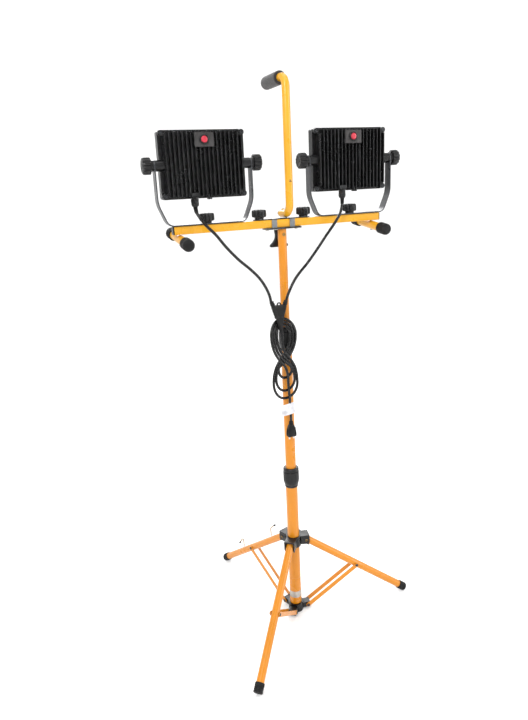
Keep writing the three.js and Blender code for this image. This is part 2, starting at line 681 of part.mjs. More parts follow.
function buildHeads() {
  HEAD_X.forEach((x, i) => {
    const side = ['left', 'right'][i];
    const place = (geometry) => geometry.translate(x, 0, TILT_Z);
    add(`housing_${side}`, place(housing()), 'casting');
    add(`bezel_${side}`, place(bezel()), 'casting');
    add(`lens_${side}`, place(lens()), 'glass');
    add(`led_board_${side}`, place(ledBoard()), 'board');
    add(`gland_${side}`, place(gland()), 'plastic');
    add(`button_${side}`, place(button()), 'red');
    add(`yoke_${side}`, place(yoke()), 'yokeGrey');
    const yokeTop = BAR_Z + BAR_WIDE / 2 + GAP + YOKE_THICK + GAP;
    const yokeKnob = knob(KNOB_R, KNOB_TALL, 5, STEM_R, BAR_WIDE);
    add(`yoke_knob_${side}`, yokeKnob.translate(x, 0, yokeTop), 'plastic');
    ['outer', 'inner'].forEach((end) => {
      const outwards = (end === 'outer') === (side === 'right') ? 1 : -1;
      const tiltKnob = knob(TILT_KNOB_R, TILT_KNOB_TALL, 6, TILT_STEM_R, YOKE_THICK + 16);
      tiltKnob.rotateY(outwards * Math.PI / 2).translate(outwards * (YOKE_HALF + YOKE_THICK / 2 + GAP), 0, 0);
      add(`tilt_knob_${side}_${end}`, place(tiltKnob), 'plastic');
    });
  });
}

// Cord.
function buildLeads() {
  LEAD_POINTS.forEach((points, i) => {
    const side = ['left', 'right'][i];
    const tube = alongCurve(circle(CORD_R, 8), curveOf(points), 24);
    const swing = rod(glandReach() + GAP, [HEAD_X[i] - 110, HEAD_X[i] + 110], 'x', [0, TILT_Z], 180);
    const above = block([-400, 400], [-200, 200], [SWIVEL_Z, 1400]);
    const below = block([-400, 400], [-200, 200], [SPLITTER_Z[1] + GAP, SWIVEL_Z - GAP]);
    add(`lead_${side}_upper`, cut(common(tube, above), swing), 'rubber');
    add(`lead_${side}_lower`, common(tube, below), 'rubber');
  });
}

// The moulded Y where the two leads join: two sleeves at the top, one below and an eye to hang it by.
function splitter() {
  const [bottom, top] = SPLITTER_Z;
  const waist = bottom + 25;
  const shoulder = bottom + 48;
  const [left, right] = SPLITTER_SLEEVES;
  const [neckLeft, neckRight] = SPLITTER_NECK;
  const shape = new THREE.Shape();
  shape.moveTo(left[0], top);
  shape.quadraticCurveTo(left[0] + 7.5, shoulder, neckLeft - 3, waist);
  shape.lineTo(neckLeft, bottom);
  shape.lineTo(neckRight, bottom);
  shape.lineTo(neckRight + 3, waist);
  shape.quadraticCurveTo(right[1] - 4.5, shoulder, right[1], top);
  shape.lineTo(right[0], top);
  shape.quadraticCurveTo(SPLITTER_EYE[0], top - 3, left[1], top);
  shape.closePath();
  return cut(
    slabXZ(shape, [CORD_Y - SPLITTER_HALF_THICK, CORD_Y + SPLITTER_HALF_THICK]),
    rod(3.5, [CORD_Y - 10, CORD_Y + 10], 'y', SPLITTER_EYE),
  );
}

// A plug with a narrow ribbed neck, a flared body and two round pins.
function plug() {
  const { x, z: [low, high], neck, halfW, thick } = PLUG;
  const shape = new THREE.Shape();
  shape.moveTo(x - neck, high);
  shape.lineTo(x - neck, high - 9);
  shape.quadraticCurveTo(x - halfW + 2, high - 14, x - halfW, low + 12);
  shape.lineTo(x - halfW, low);
  shape.lineTo(x + halfW, low);
  shape.lineTo(x + halfW, low + 12);
  shape.quadraticCurveTo(x + halfW - 2, high - 14, x + neck, high - 9);
  shape.lineTo(x + neck, high);
  const pins = [-1, 1].map((side) => (
    rod(PLUG.pinR, [PLUG.pinEnd, low + 2], 'z', [x + side * PLUG.pinX, CORD_Y], 10)
  ));
  return join(slabXZ(shape, [CORD_Y - thick / 2, CORD_Y + thick / 2], 4), ...pins);
}

function buildCord() {
  buildLeads();
  add('cord_splitter', splitter(), 'rubber');
  const { x, halfW, z, thick } = BUNDLE;
  const hank = slabXZ(roundedRect([x - halfW, x + halfW], z, 36), [CORD_Y - thick / 2, CORD_Y + thick / 2]);
  add('cord_bundle', cut(hank, slabXZ(outline(BUNDLE_NOTCH), [CORD_Y - thick, CORD_Y + thick])), 'rubber');
  const span = block([-100, 100], [-100, 0], [PLUG.z[1] + GAP, z[0] - GAP]);
  add('main_lead', common(alongCurve(circle(CORD_R, 8), curveOf(TAIL_POINTS), 6), span), 'rubber');
  add('mains_plug', plug(), 'rubber');
}

buildMast();
buildTripod();
buildCrossbar();
buildBracket();
buildClampHandle();
buildHandle();
buildHeads();
buildCord();

export default group;
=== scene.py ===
"""The look of a twin-head work light on a folding tripod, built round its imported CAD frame.

Shapes are drawn in millimetres and become metres when their mesh is made.
"""

import json
import math

import bmesh
import bpy
from mathutils import Matrix, Vector


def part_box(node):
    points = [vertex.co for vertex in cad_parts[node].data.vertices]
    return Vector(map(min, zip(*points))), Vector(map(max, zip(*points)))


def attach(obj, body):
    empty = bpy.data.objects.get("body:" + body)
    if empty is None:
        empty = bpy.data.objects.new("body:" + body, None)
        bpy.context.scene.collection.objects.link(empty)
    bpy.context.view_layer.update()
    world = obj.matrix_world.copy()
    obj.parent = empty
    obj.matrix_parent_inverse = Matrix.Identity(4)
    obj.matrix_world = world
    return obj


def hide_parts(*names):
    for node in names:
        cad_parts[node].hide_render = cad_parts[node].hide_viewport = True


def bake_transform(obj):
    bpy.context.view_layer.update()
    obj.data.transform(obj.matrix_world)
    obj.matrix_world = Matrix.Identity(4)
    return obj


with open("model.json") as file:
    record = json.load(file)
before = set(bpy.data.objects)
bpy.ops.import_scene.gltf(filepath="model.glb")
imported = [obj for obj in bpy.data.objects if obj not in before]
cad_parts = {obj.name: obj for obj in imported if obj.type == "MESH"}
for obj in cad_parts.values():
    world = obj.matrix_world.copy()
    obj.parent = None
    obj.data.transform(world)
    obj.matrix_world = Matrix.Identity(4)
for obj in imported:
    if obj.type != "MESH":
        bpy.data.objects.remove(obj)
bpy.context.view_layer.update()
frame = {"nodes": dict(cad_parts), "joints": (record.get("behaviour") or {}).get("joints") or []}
NODES = frame["nodes"]
SIDES = ("left", "right")
TAU = math.tau
MM = 0.001  # a millimetre, in metres
CORD_SIDES = 14  # of a cord's cross-section


# Places read from the frame, in millimetres.
def low(node):
    return [1000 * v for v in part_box(node)[0]]


def high(node):
    return [1000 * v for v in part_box(node)[1]]


def middle(node):
    return [(a + b) / 2 for a, b in zip(low(node), high(node))]


JOINTS = {joint["name"]: joint for joint in frame["joints"]}


def joint_place(name):
    return Vector([1000 * v for v in JOINTS[name]["pos_m"]])


def joint_axis(name):
    return Vector(JOINTS[name]["axis"]).normalized()


# ---------------------------------------------------------------- camera, floor and lights
CAMERA_PLACE = (-0.6462, -1.4706, 1.2756)
CAMERA_HEADING = 21.48  # degrees from +Y towards +X
CAMERA_DOWN = 16.19
CAMERA_ROLL = -2.78
CAMERA_LENS = 30.37


def turned_matrix(heading, down, roll):
    upright = Matrix.Rotation(math.radians(-heading), 4, "Z")
    pitched = Matrix.Rotation(math.radians(90 - down), 4, "X")
    return upright @ pitched @ Matrix.Rotation(math.radians(roll), 4, "Z")


def make_camera():
    data = bpy.data.cameras.new("camera")
    data.lens = CAMERA_LENS
    data.clip_end = 60
    camera = bpy.data.objects.new("camera", data)
    bpy.context.scene.collection.objects.link(camera)
    turned = turned_matrix(CAMERA_HEADING, CAMERA_DOWN, CAMERA_ROLL)
    camera.matrix_world = Matrix.Translation(CAMERA_PLACE) @ turned
    bpy.context.scene.camera = camera


def area_light(name, place, target, size, power, colour=(1, 1, 1)):
    data = bpy.data.lights.new(name, "AREA")
    data.shape = "RECTANGLE"
    data.size, data.size_y = size
    data.energy = power
    data.color = colour
    light = bpy.data.objects.new(name, data)
    bpy.context.scene.collection.objects.link(light)
    light.location = place
    light.rotation_euler = (Vector(target) - Vector(place)).to_track_quat("-Z", "Y").to_euler()


def make_studio():
    world = bpy.data.worlds.new("studio")
    bpy.context.scene.world = world
    world.use_nodes = True
    background = world.node_tree.nodes["Background"]
    background.inputs["Color"].default_value = (1, 1, 1, 1)
    background.inputs["Strength"].default_value = 0.76
    area_light("key_light", (-2.2, -2.0, 2.9), (0, 0, 0.9), (1.0, 1.6), 80)
    area_light("fill_light", (2.4, -1.6, 1.6), (0, 0, 0.8), (0.7, 1.8), 34)
    area_light("rim_light", (0.6, 2.6, 2.4), (0, 0, 0.9), (2.0, 1.2), 60)
    area_light("floor_light", (0, -0.4, 3.4), (0, 0, 0), (2.4, 2.4), 30)
    bpy.context.scene.view_settings.view_transform = "Standard"


def make_floor():
    rings = [(0, 0), (1.5, 0), (3.2, 0)]
    for step in range(1, 9):
        angle = step / 8 * math.pi / 2
        rings.append((3.2 + 1.6 * math.sin(angle), 1.6 * (1 - math.cos(angle))))
    rings.append((4.8, 5.0))
    shape = Shape()
    shape.turned([(1000 * r, 1000 * z) for r, z in rings], 96)
    floor = shape.make("floor", pale_floor())


# ---------------------------------------------------------------- mesh drawing
AXES = {"x": (1, 0, 0), "y": (0, 1, 0), "-y": (0, -1, 0), "z": (0, 0, 1), "-z": (0, 0, -1)}


def place(x=0, y=0, z=0, axis="z", turn=0.0):
    """A matrix that puts a piece drawn about Z at a point, its Z along an axis name or vector."""
    direction = Vector(AXES.get(axis, axis) if isinstance(axis, str) else axis)
    aim = direction.to_track_quat("Z", "Y").to_matrix().to_4x4()
    return Matrix.Translation((x, y, z)) @ aim @ Matrix.Rotation(turn, 4, "Z")


class Shape:
    """Collects closed surfaces, in millimetres, for one mesh."""

    def __init__(self):
        self.verts = []
        self.faces = []

    def add(self, verts, faces, where=None):
        start = len(self.verts)
        where = where or Matrix.Identity(4)
        self.verts += [where @ Vector(v) for v in verts]
        self.faces += [[start + i for i in face] for face in faces]

    def rings(self, rings, where=None, closed=False):
        """Joins rings of points in order. A ring of one point is a tip."""
        verts, faces, starts = [], [], []
        for ring in rings:
            starts.append(len(verts))
            verts += ring
        pairs = list(zip(range(len(rings) - 1), range(1, len(rings))))
        if closed:
            pairs.append((len(rings) - 1, 0))
        for a, b in pairs:
            na, nb = len(rings[a]), len(rings[b])
            for i in range(max(na, nb)):
                j = (i + 1) % max(na, nb)
                if na == 1 and nb == 1:
                    continue
                if na == 1:
                    faces.append((starts[a], starts[b] + j, starts[b] + i))
                elif nb == 1:
                    faces.append((starts[a] + i, starts[a] + j, starts[b]))
                else:
                    faces.append((starts[a] + i, starts[a] + j, starts[b] + j, starts[b] + i))
        self.add(verts, faces, where)

    def turned(self, profile, sides=32, where=None, reach=None, closed=False):
        """A profile of (radius, height) turned about Z. reach(angle, height) scales the radius."""
        rings = []
        for radius, height in profile:
            if radius == 0:
                rings.append([(0, 0, height)])
                continue
            ring = []
            for i in range(sides):
                angle = i / sides * TAU
                r = radius * (reach(angle, height) if reach else 1)
                ring.append((r * math.cos(angle), r * math.sin(angle), height))
            rings.append(ring)
        self.rings(rings, where, closed)

    def rod(self, radius, start, end, where=None, sides=20, chamfer=0.3):
        self.turned(
            [(0, start), (radius - chamfer, start), (radius, start + chamfer),
             (radius, end - chamfer), (radius - chamfer, end), (0, end)],
            sides, where,
        )

    def slab(self, outline, start, end, where=None):
        """An outline of (x, y) raised along Z."""
        count = len(outline)
        verts = [(x, y, start) for x, y in outline] + [(x, y, end) for x, y in outline]
        faces = [list(range(count))[::-1], list(range(count, 2 * count))]
        faces += [(i, (i + 1) % count, count + (i + 1) % count, count + i) for i in range(count)]
        self.add(verts, faces, where)

    def tube(self, points, radius, sides=CORD_SIDES):
        """A tube along points. radius is a number, or a list with one for each point."""
        points = [Vector(p) for p in points]
        radii = radius if isinstance(radius, list) else [radius] * len(points)
        rings = []
        side = None
        for i, point in enumerate(points):
            ahead = points[min(i + 1, len(points) - 1)] - points[max(i - 1, 0)]
            ahead.normalize()
            if side is None:
                side = ahead.orthogonal().normalized()
            side = (side - ahead * side.dot(ahead)).normalized()
            across = ahead.cross(side)
            rings.append([
                point + radii[i] * (math.cos(a) * side + math.sin(a) * across)
                for a in (j / sides * TAU for j in range(sides))
            ])
        self.rings([[points[0]], *rings, [points[-1]]])

    def mesh(self, name):
        data = bpy.data.meshes.new(name)
        data.from_pydata([v * MM for v in self.verts], [], self.faces)
        work = bmesh.new()
        work.from_mesh(data)
        bmesh.ops.remove_doubles(work, verts=work.verts, dist=1e-7)
        bmesh.ops.recalc_face_normals(work, faces=work.faces)
        work.to_mesh(data)
        work.free()
        data.update()
        return data

    def make(self, name, material, bevel=0.0, angle=35, segments=2):
        made = bpy.data.objects.new(name, self.mesh(name))
        bpy.context.scene.collection.objects.link(made)
        made.data.materials.append(material)
        smooth(made, angle)
        if bevel:
            add_bevel(made, bevel, segments)
        return made


def smooth(piece, angle=35):
    piece.data.polygons.foreach_set("use_smooth", [True] * len(piece.data.polygons))
    piece.data.set_sharp_from_angle(angle=math.radians(angle))


def add_bevel(piece, width, segments=2, angle=38):
    bevel = piece.modifiers.new("edges", "BEVEL")
    bevel.width = width * MM
    bevel.segments = segments
    bevel.limit_method = "ANGLE"
    bevel.angle_limit = math.radians(angle)
    bevel.harden_normals = True


def put(shape, name, material, body, slot, stands_for=(), **how):
    """Makes a shape's piece, lets it ride on a body and stand for its CAD nodes."""
    piece = shape.make(name, material, **how)
    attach(piece, body)
    if stands_for:
        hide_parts(*stands_for)
    return piece


def rounded(half_w, half_h, radius, steps=6, centre=(0, 0)):
    points = []
    for sx, sy, start in ((1, -1, -90), (1, 1, 0), (-1, 1, 90), (-1, -1, 180)):
        for i in range(steps + 1):
            angle = math.radians(start + 90 * i / steps)
            x = sx * (half_w - radius) + radius * math.cos(angle)
            y = sy * (half_h - radius) + radius * math.sin(angle)
            points.append((centre[0] + x, centre[1] + y))
    return points


def smooth_path(points, per_span=8):
    """Points along a Catmull-Rom curve through the given ones."""
    points = [Vector(p) for p in points]
    padded = [2 * points[0] - points[1], *points, 2 * points[-1] - points[-2]]
    made = []
    for i in range(1, len(padded) - 2):
        p0, p1, p2, p3 = padded[i - 1 : i + 3]
        for step in range(per_span):
            t = step / per_span
            made.append(0.5 * (
                2 * p1 + (p2 - p0) * t + (2 * p0 - 5 * p1 + 4 * p2 - p3) * t * t
                + (3 * p1 - p0 - 3 * p2 + p3) * t * t * t
            ))
    return [*made, points[-1]]


# ---------------------------------------------------------------- materials
class Finish:
    """A material under construction, with the few node patterns that the finishes share."""

    def __init__(self, name, colour, roughness, metallic=0.0, coat=0.0, specular=0.5):
        self.material = bpy.data.materials.new(name)
        self.material.use_nodes = True
        self.tree = self.material.node_tree
        self.shader = self.tree.nodes["Principled BSDF"]
        self.shader.inputs["Base Color"].default_value = (*colour, 1)
        self.shader.inputs["Roughness"].default_value = roughness
        self.shader.inputs["Metallic"].default_value = metallic
        self.shader.inputs["Coat Weight"].default_value = coat
        self.shader.inputs["Coat Roughness"].default_value = 0.18
        self.shader.inputs["Specular IOR Level"].default_value = specular
        self.colour = colour
        self.roughness = roughness
        self.where = self.node("ShaderNodeTexCoord").outputs["Object"]
        self.bump = None

    def node(self, kind, **values):
        made = self.tree.nodes.new(kind)
        for key, value in values.items():
            setattr(made, key, value)
        return made

    def link(self, out, into):
        self.tree.links.new(out, into)

    def noise(self, scale, detail=4.0, stretch=None):
        made = self.node("ShaderNodeTexNoise")
        made.inputs["Scale"].default_value = scale
        made.inputs["Detail"].default_value = detail
        where = self.where
        if stretch:
            mapping = self.node("ShaderNodeMapping")
            mapping.inputs["Scale"].default_value = stretch
            self.link(self.where, mapping.inputs["Vector"])
            where = mapping.outputs["Vector"]
        self.link(where, made.inputs["Vector"])
        return made.outputs["Fac"]

    def ranged(self, value, low_in, high_in, low_out, high_out):
        made = self.node("ShaderNodeMapRange")
        numbers = {"From Min": low_in, "From Max": high_in, "To Min": low_out, "To Max": high_out}
        for key, number in numbers.items():
            made.inputs[key].default_value = number
        self.link(value, made.inputs["Value"])
        return made.outputs["Result"]

    def tint(self, amount, first, second):
        """Mixes two colours, or a colour over what already drives the base colour."""
        mix = self.node("ShaderNodeMix", data_type="RGBA")
        self.link(amount, mix.inputs["Factor"])
        base = self.shader.inputs["Base Color"]
        if base.is_linked:
            self.link(base.links[0].from_socket, mix.inputs["A"])
        else:
            mix.inputs["A"].default_value = (*first, 1)
        mix.inputs["B"].default_value = (*second, 1)
        self.link(mix.outputs["Result"], base)

    def mottle(self, second, scale, detail, low_in, high_in, share=1, stretch=None):
        """Patches of a second colour, broken up by noise."""
        amount = self.ranged(self.noise(scale, detail, stretch), low_in, high_in, 0, share)
        self.tint(amount, self.colour, second)

    def grain(self, scale, detail, strength, distance, stretch=None):
        """Bumps from noise; distance is in millimetres."""
        self.relief(self.noise(scale, detail, stretch), strength, distance)

    def uneven_gloss(self, scale, spread):
        value = self.ranged(self.noise(scale), 0.3, 0.7, self.roughness - spread, self.roughness + spread)
        self.link(value, self.shader.inputs["Roughness"])

    def relief(self, height, strength, distance):
        made = self.node("ShaderNodeBump")
        made.inputs["Strength"].default_value = strength
        made.inputs["Distance"].default_value = distance * MM
        self.link(height, made.inputs["Height"])
        if self.bump:
            self.link(self.bump, made.inputs["Normal"])
        self.bump = made.outputs["Normal"]
        self.link(self.bump, self.shader.inputs["Normal"])

    def worn_edges(self, colour, low_in=0.53, high_in=0.6, share=0.6):
        """Rubbed corners, broken up by noise."""
        point = self.node("ShaderNodeNewGeometry").outputs["Pointiness"]
        edge = self.ranged(point, low_in, high_in, 0, share)
        patch = self.ranged(self.noise(90, 6), 0.45, 0.7, 0, 1)
        times = self.node("ShaderNodeMath", operation="MULTIPLY")
        self.link(edge, times.inputs[0])
        self.link(patch, times.inputs[1])
        self.tint(times.outputs["Value"], self.colour, colour)


def yellow_paint(name, colour):
    finish = Finish(name, colour, 0.3, coat=0.1, specular=0.4)
    finish.mottle(tuple(0.92 * c for c in colour), 9, 3, 0.35, 0.7)
    finish.mottle((0.75, 0.4, 0.05), 700, 2, 0.6, 0.72, 0.2)
    finish.mottle((0.32, 0.16, 0.03), 38, 8, 0.66, 0.74, 0.3, stretch=(1, 1, 0.25))
    finish.worn_edges((0.4, 0.22, 0.07), share=0.3)
    finish.uneven_gloss(14, 0.07)
    finish.grain(420, 2, 0.16, 0.25)
    finish.grain(1600, 1, 0.08, 0.1)
    return finish.material


def black_plastic():
    finish = Finish("moulded_plastic", (0.0035, 0.0035, 0.0038), 0.34, specular=0.3)
    finish.mottle((0.008, 0.0078, 0.0078), 25, 4, 0.4, 0.7)
    finish.worn_edges((0.09, 0.09, 0.09), share=0.5)
    finish.uneven_gloss(40, 0.08)
    finish.grain(1400, 2, 0.22, 0.12)
    return finish.material


def black_rubber():
    finish = Finish("rubber", (0.004, 0.004, 0.0043), 0.62, specular=0.22)
    finish.mottle((0.012, 0.011, 0.0105), 60, 6, 0.45, 0.75)
    finish.worn_edges((0.12, 0.115, 0.11), share=0.4)
    finish.uneven_gloss(50, 0.1)
    finish.grain(900, 3, 0.3, 0.15)
    return finish.material


def cord_rubber():
    finish = Finish("cord_jacket", (0.0025, 0.0025, 0.0028), 0.27, specular=0.32)
    finish.mottle((0.006, 0.0058, 0.0058), 120, 5, 0.45, 0.75)
    finish.uneven_gloss(90, 0.09)
    finish.grain(700, 2, 0.18, 0.1)
    return finish.material


def grip_foam():
    finish = Finish("grip_foam", (0.02, 0.0185, 0.019), 0.88, specular=0.2)
    cells = finish.node("ShaderNodeTexVoronoi")
    cells.inputs["Scale"].default_value = 1100
    finish.link(finish.where, cells.inputs["Vector"])
    finish.mottle((0.036, 0.034, 0.034), 160, 5, 0.4, 0.7)
    finish.grain(240, 5, 0.35, 0.3)
    finish.relief(cells.outputs["Distance"], 0.5, 0.35)
    finish.shader.inputs["Sheen Weight"].default_value = 0.25
    return finish.material


def black_casting():
    finish = Finish("cast_aluminium_paint", (0.003, 0.0031, 0.0033), 0.3, specular=0.3)
    finish.mottle((0.008, 0.008, 0.0085), 18, 4, 0.4, 0.7)
    finish.mottle((0.03, 0.03, 0.032), 1100, 2, 0.62, 0.74, 0.4)
    finish.worn_edges((0.09, 0.093, 0.097), low_in=0.54, high_in=0.62, share=0.5)
    finish.uneven_gloss(30, 0.07)
    finish.grain(1000, 2, 0.2, 0.14)
    finish.grain(160, 3, 0.08, 0.3)
    return finish.material


def steel(name, colour, roughness=0.34, brushed=(1, 40, 1)):
    finish = Finish(name, colour, roughness, metallic=0.9)
    finish.mottle(tuple(0.72 * c for c in colour), 16, 5, 0.35, 0.7)
    finish.uneven_gloss(60, 0.09)
    finish.grain(240, 3, 0.12, 0.08, brushed)
    finish.worn_edges(tuple(min(1, 1.5 * c) for c in colour), share=0.5)
    return finish.material


def bracket_steel():
    """Grey straps between a dark lower plate and a dark upper plate."""
    colour = (0.2, 0.21, 0.22)
    finish = Finish("bracket_steel", colour, 0.38, metallic=0.6)
    finish.mottle(tuple(0.72 * c for c in colour), 16, 5, 0.35, 0.7)
    height = finish.node("ShaderNodeSeparateXYZ")
    finish.link(finish.where, height.inputs["Vector"])
    bar = middle("crossbar")[2] * MM
    for start, end in ((bar - 0.0102, bar - 0.0105), (bar + 0.0100, bar + 0.0103)):
        finish.tint(finish.ranged(height.outputs["Z"], start, end, 0, 1), colour, (0.022, 0.021, 0.021))
    finish.uneven_gloss(60, 0.09)
    finish.grain(240, 3, 0.12, 0.08, (1, 40, 1))
    finish.worn_edges((0.3, 0.3, 0.3), share=0.5)
    return finish.material


def yoke_paint():
    finish = Finish("grey_steel_paint", (0.03, 0.0315, 0.035), 0.32, metallic=0.3)
    finish.mottle((0.045, 0.047, 0.052), 22, 4, 0.4, 0.7)
    finish.worn_edges((0.22, 0.23, 0.24), share=0.6)
    finish.uneven_gloss(30, 0.07)
    finish.grain(700, 2, 0.16, 0.12)
    return finish.material


def grey_pad():
    finish = Finish("grey_pad", (0.026, 0.024, 0.024), 0.5, specular=0.3)
    finish.mottle((0.044, 0.042, 0.042), 70, 5, 0.4, 0.7)
    finish.grain(1500, 2, 0.3, 0.1)
    return finish.material


def red_button():
    finish = Finish("red_button", (0.48, 0.012, 0.035), 0.3, coat=0.4)
    finish.mottle((0.36, 0.008, 0.022), 120, 3, 0.4, 0.7)
    finish.uneven_gloss(120, 0.06)
    finish.grain(1300, 2, 0.12, 0.08)
    return finish.material


def lens_glass():
    finish = Finish("front_glass", (0.96, 0.98, 0.98), 0.06, specular=0.5)
    finish.shader.inputs["Transmission Weight"].default_value = 0.92
    finish.shader.inputs["IOR"].default_value = 1.45
    finish.mottle((0.86, 0.89, 0.9), 30, 4, 0.45, 0.8)
    finish.link(finish.ranged(finish.noise(45, 6), 0.5, 0.8, 0.03, 0.12), finish.shader.inputs["Roughness"])
    finish.grain(6, 2, 0.03, 0.5)
    return finish.material


def led_board():
    finish = Finish("led_board", (0.78, 0.77, 0.73), 0.45)
    finish.mottle((0.68, 0.67, 0.63), 24, 4, 0.4, 0.7)
    finish.grain(500, 3, 0.15, 0.1)
    return finish.material


def led_chip():
    finish = Finish("led_chip", (0.82, 0.62, 0.12), 0.3, coat=0.5)
    finish.mottle((0.9, 0.74, 0.25), 300, 3, 0.4, 0.7)
    finish.grain(900, 2, 0.2, 0.1)
    return finish.material


def shaded_white_label():
    # The tag's white film is painted mid grey, with darker grey patches from noise: painted shade, not the
    # film's own colour.
    finish = Finish("label_film_painted_shade", (0.6, 0.6, 0.63), 0.4)
    finish.mottle((0.4, 0.4, 0.43), 60, 5, 0.4, 0.65)
    finish.uneven_gloss(40, 0.1)
    finish.grain(90, 4, 0.35, 0.4)
    return finish.material


def pale_floor():
    finish = Finish("pale_floor", (0.94, 0.94, 0.94), 0.75, specular=0.2)
    finish.mottle((0.92, 0.92, 0.92), 0.8, 3, 0.3, 0.7)
    return finish.material


YELLOW = yellow_paint("yellow_powder_coat", (0.56, 0.195, 0.003))
# A paler, yellower copy of the same yellow paint for the crossbar, handle and stand tubes: painted light,
# standing in for the brighter light on the upper pieces.
YELLOW_LIT_COPY = yellow_paint("yellow_powder_coat_lit_copy", (0.62, 0.3, 0.01))
PLASTIC = black_plastic()
RUBBER = black_rubber()
CORD = cord_rubber()
FOAM = grip_foam()
CASTING = black_casting()
BRACKET_STEEL = steel("bracket_steel", (0.3, 0.32, 0.33), 0.36)
BOLT_STEEL = steel("zinc_steel", (0.55, 0.55, 0.53), 0.28, (1, 1, 30))
BRACKET = bracket_steel()
FOIL = steel("band_foil", (0.4, 0.38, 0.35), 0.42, (1, 1, 30))
DARK_STEEL = steel("blackened_steel", (0.06, 0.062, 0.066), 0.36, (1, 1, 30))
BRASS = steel("brass_plated_steel", (0.36, 0.22, 0.07), 0.3, (1, 1, 30))
YOKE = yoke_paint()
PAD = grey_pad()
RED = red_button()
GLASS = lens_glass()
BOARD = led_board()
CHIP = led_chip()
LABEL_PAINTED_SHADE = shaded_white_label()


# ---------------------------------------------------------------- cords
CORD_D = 7.5
CORD_R = CORD_D / 2
CORD_Y = -36
LEAD_ROUTES = {
    "left": [
        (-232, -18, 1229), (-231.5, -18.5, 1222), (-230, -22.5, 1213), (-223, -29.5, 1199), (-210, -34, 1181),
        (-191, -36, 1161), (-167, -36, 1130), (-138, -36, 1098), (-107, -36, 1070), (-85, -36, 1047),
        (-69, -36, 1023), (-58, -36, 998), (-53, -36, 972),
    ],
    "right": [
        (168, -18, 1229), (168, -18.5, 1222), (166.5, -20, 1213), (162, -24, 1202), (152, -31, 1187),
        (133, -36, 1165), (108.5, -36, 1136.5), (84.8, -36, 1107.4), (54.6, -36, 1072.8), (28, -36, 1046.4),
        (12.4, -36, 1027), (-0.5, -36, 1004.5), (-9, -36, 986), (-12, -36, 972),
    ],
}
TAIL = [(-13, -40, 706), (-12, -37, 692), (-11, -36, 676), (-10, -36, 660), (-10, -36, 639)]
SPLIT_NOSE = (-28.5, -40.2, 895)  # where the splitter's tapered nose ends
HANK_STEP = 7.9  # between the strands that lie side by side
HANK_DEPTH = 4.1  # of a strand before or behind the hank's middle plane
RUN_STEPS = 10  # points in each curve of the hank
SLEEVE_RIBS = 5
KNOB_TALL = 24
TILT_KNOB_TALL = 26
HOOK_HEADING = 198.75  # degrees, of the plane that the wire hooks lie in
YOKE_HALF = 120  # from the head's middle to a yoke arm's outer face


def bent(p0, d0, p1, d1, steps=RUN_STEPS):
    """Points of a curve in the XZ plane between two places with two headings, without its first point."""
    p0, p1 = Vector(p0), Vector(p1)
    reach = 0.385 * (p1 - p0).length
    h0, h1 = p0 + Vector(d0).normalized() * reach, p1 - Vector(d1).normalized() * reach
    made = []
    for i in range(1, steps + 1):
        t = i / steps
        made.append((1 - t) ** 3 * p0 + 3 * t * (1 - t) ** 2 * h0 + 3 * t * t * (1 - t) * h1 + t ** 3 * p1)
    return made


def hank_route():
    """The main cord from the splitter's nose, three times round a figure of eight, to the tail."""
    left = low("cord_bundle")[0] + CORD_R
    right, _, top = (v - CORD_R for v in high("cord_bundle"))
    cross = Vector((-22.3, 820))
    falling, rising = Vector((0.66, -0.75)), Vector((0.66, 0.75))
    down_side, up_side = Vector((0.75, 0.66)), Vector((-0.75, 0.66))
    front, back = CORD_Y - HANK_DEPTH, CORD_Y + HANK_DEPTH
    behind = -25.2  # the tops of the loops pass behind the splitter's nose
    lower = [(left + 3, right - 2, 709), (left + 11, right - 10, 731), (left + 19, right - 18, 768)]
    flat = [(Vector((SPLIT_NOSE[0], SPLIT_NOSE[2])), front)]

    at = [flat[0][0], Vector((0, -1))]  # the place and heading reached so far

    def run(end, heading, depth):
        before = flat[-1]
        for i, p in enumerate(bent(*at, end, heading)):
            share = (i + 1) / RUN_STEPS
            share = share * share * (3 - 2 * share)
            flat.append((p, before[1] + (depth - before[1]) * share))
        at[:] = Vector(end), Vector(heading)

    for turn in range(3):
        a_off = (1.5 - turn) * HANK_STEP
        run(cross + down_side * a_off, falling, front)
        x0, x1, low_z = lower[turn]
        middle_z = low_z + (x1 - x0) * 0.62
        run((x1, middle_z), (0, -1), front + 2)
        run(((x0 + x1) / 2, low_z), (-1, 0), back)
        run((x0, middle_z + 2), (0, 1), back)
        run(cross + up_side * (1 - turn) * HANK_STEP, rising, back)
        inset = (2 - turn) * HANK_STEP
        run((right - inset, 886), (0, 1), back)
        run(((left + right) / 2, top - inset), (-1, 0), behind)
        run((left + inset, 889), (0, -1), CORD_Y - 1)
    run(cross - down_side * 1.5 * HANK_STEP, falling, front)
    ends = Vector((TAIL[0][0], TAIL[0][2]))
    run(ends + Vector((-1.5, 22)), (0.12, -1), front)
    route = [Vector((p.x, depth, p.y)) for p, depth in flat]
    return route + smooth_path([route[-1], *TAIL])[1:]


def cord_piece(name, route):
    shape = Shape()
    shape.tube(route, CORD_R)
    return shape.make(name, CORD)


def declare(route):
    route = [v * MM for v in map(Vector, route)]


def make_leads():
    """Each lead is two pieces that meet near the yoke's swivel, since a piece crosses one joint."""
    for side in SIDES:
        route = smooth_path(LEAD_ROUTES[side], 6)
        swivel = low(f"lead_{side}_upper")[2]
        above = [p for p in route if p.z > swivel - 1]
        below = [p for p in route if p.z <= swivel + 4]
        for part, points, end, bodies in (
            ("upper", above, above[-2], (f"head_{side}", f"yoke_{side}")),
            ("lower", below, below[len(below) // 2], (f"yoke_{side}", "top_mast")),
        ):
            jacket = cord_piece(f"lead_{side}_{part}_jacket", points)
            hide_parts(f"lead_{side}_{part}")
            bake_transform(jacket)
            declare(points)


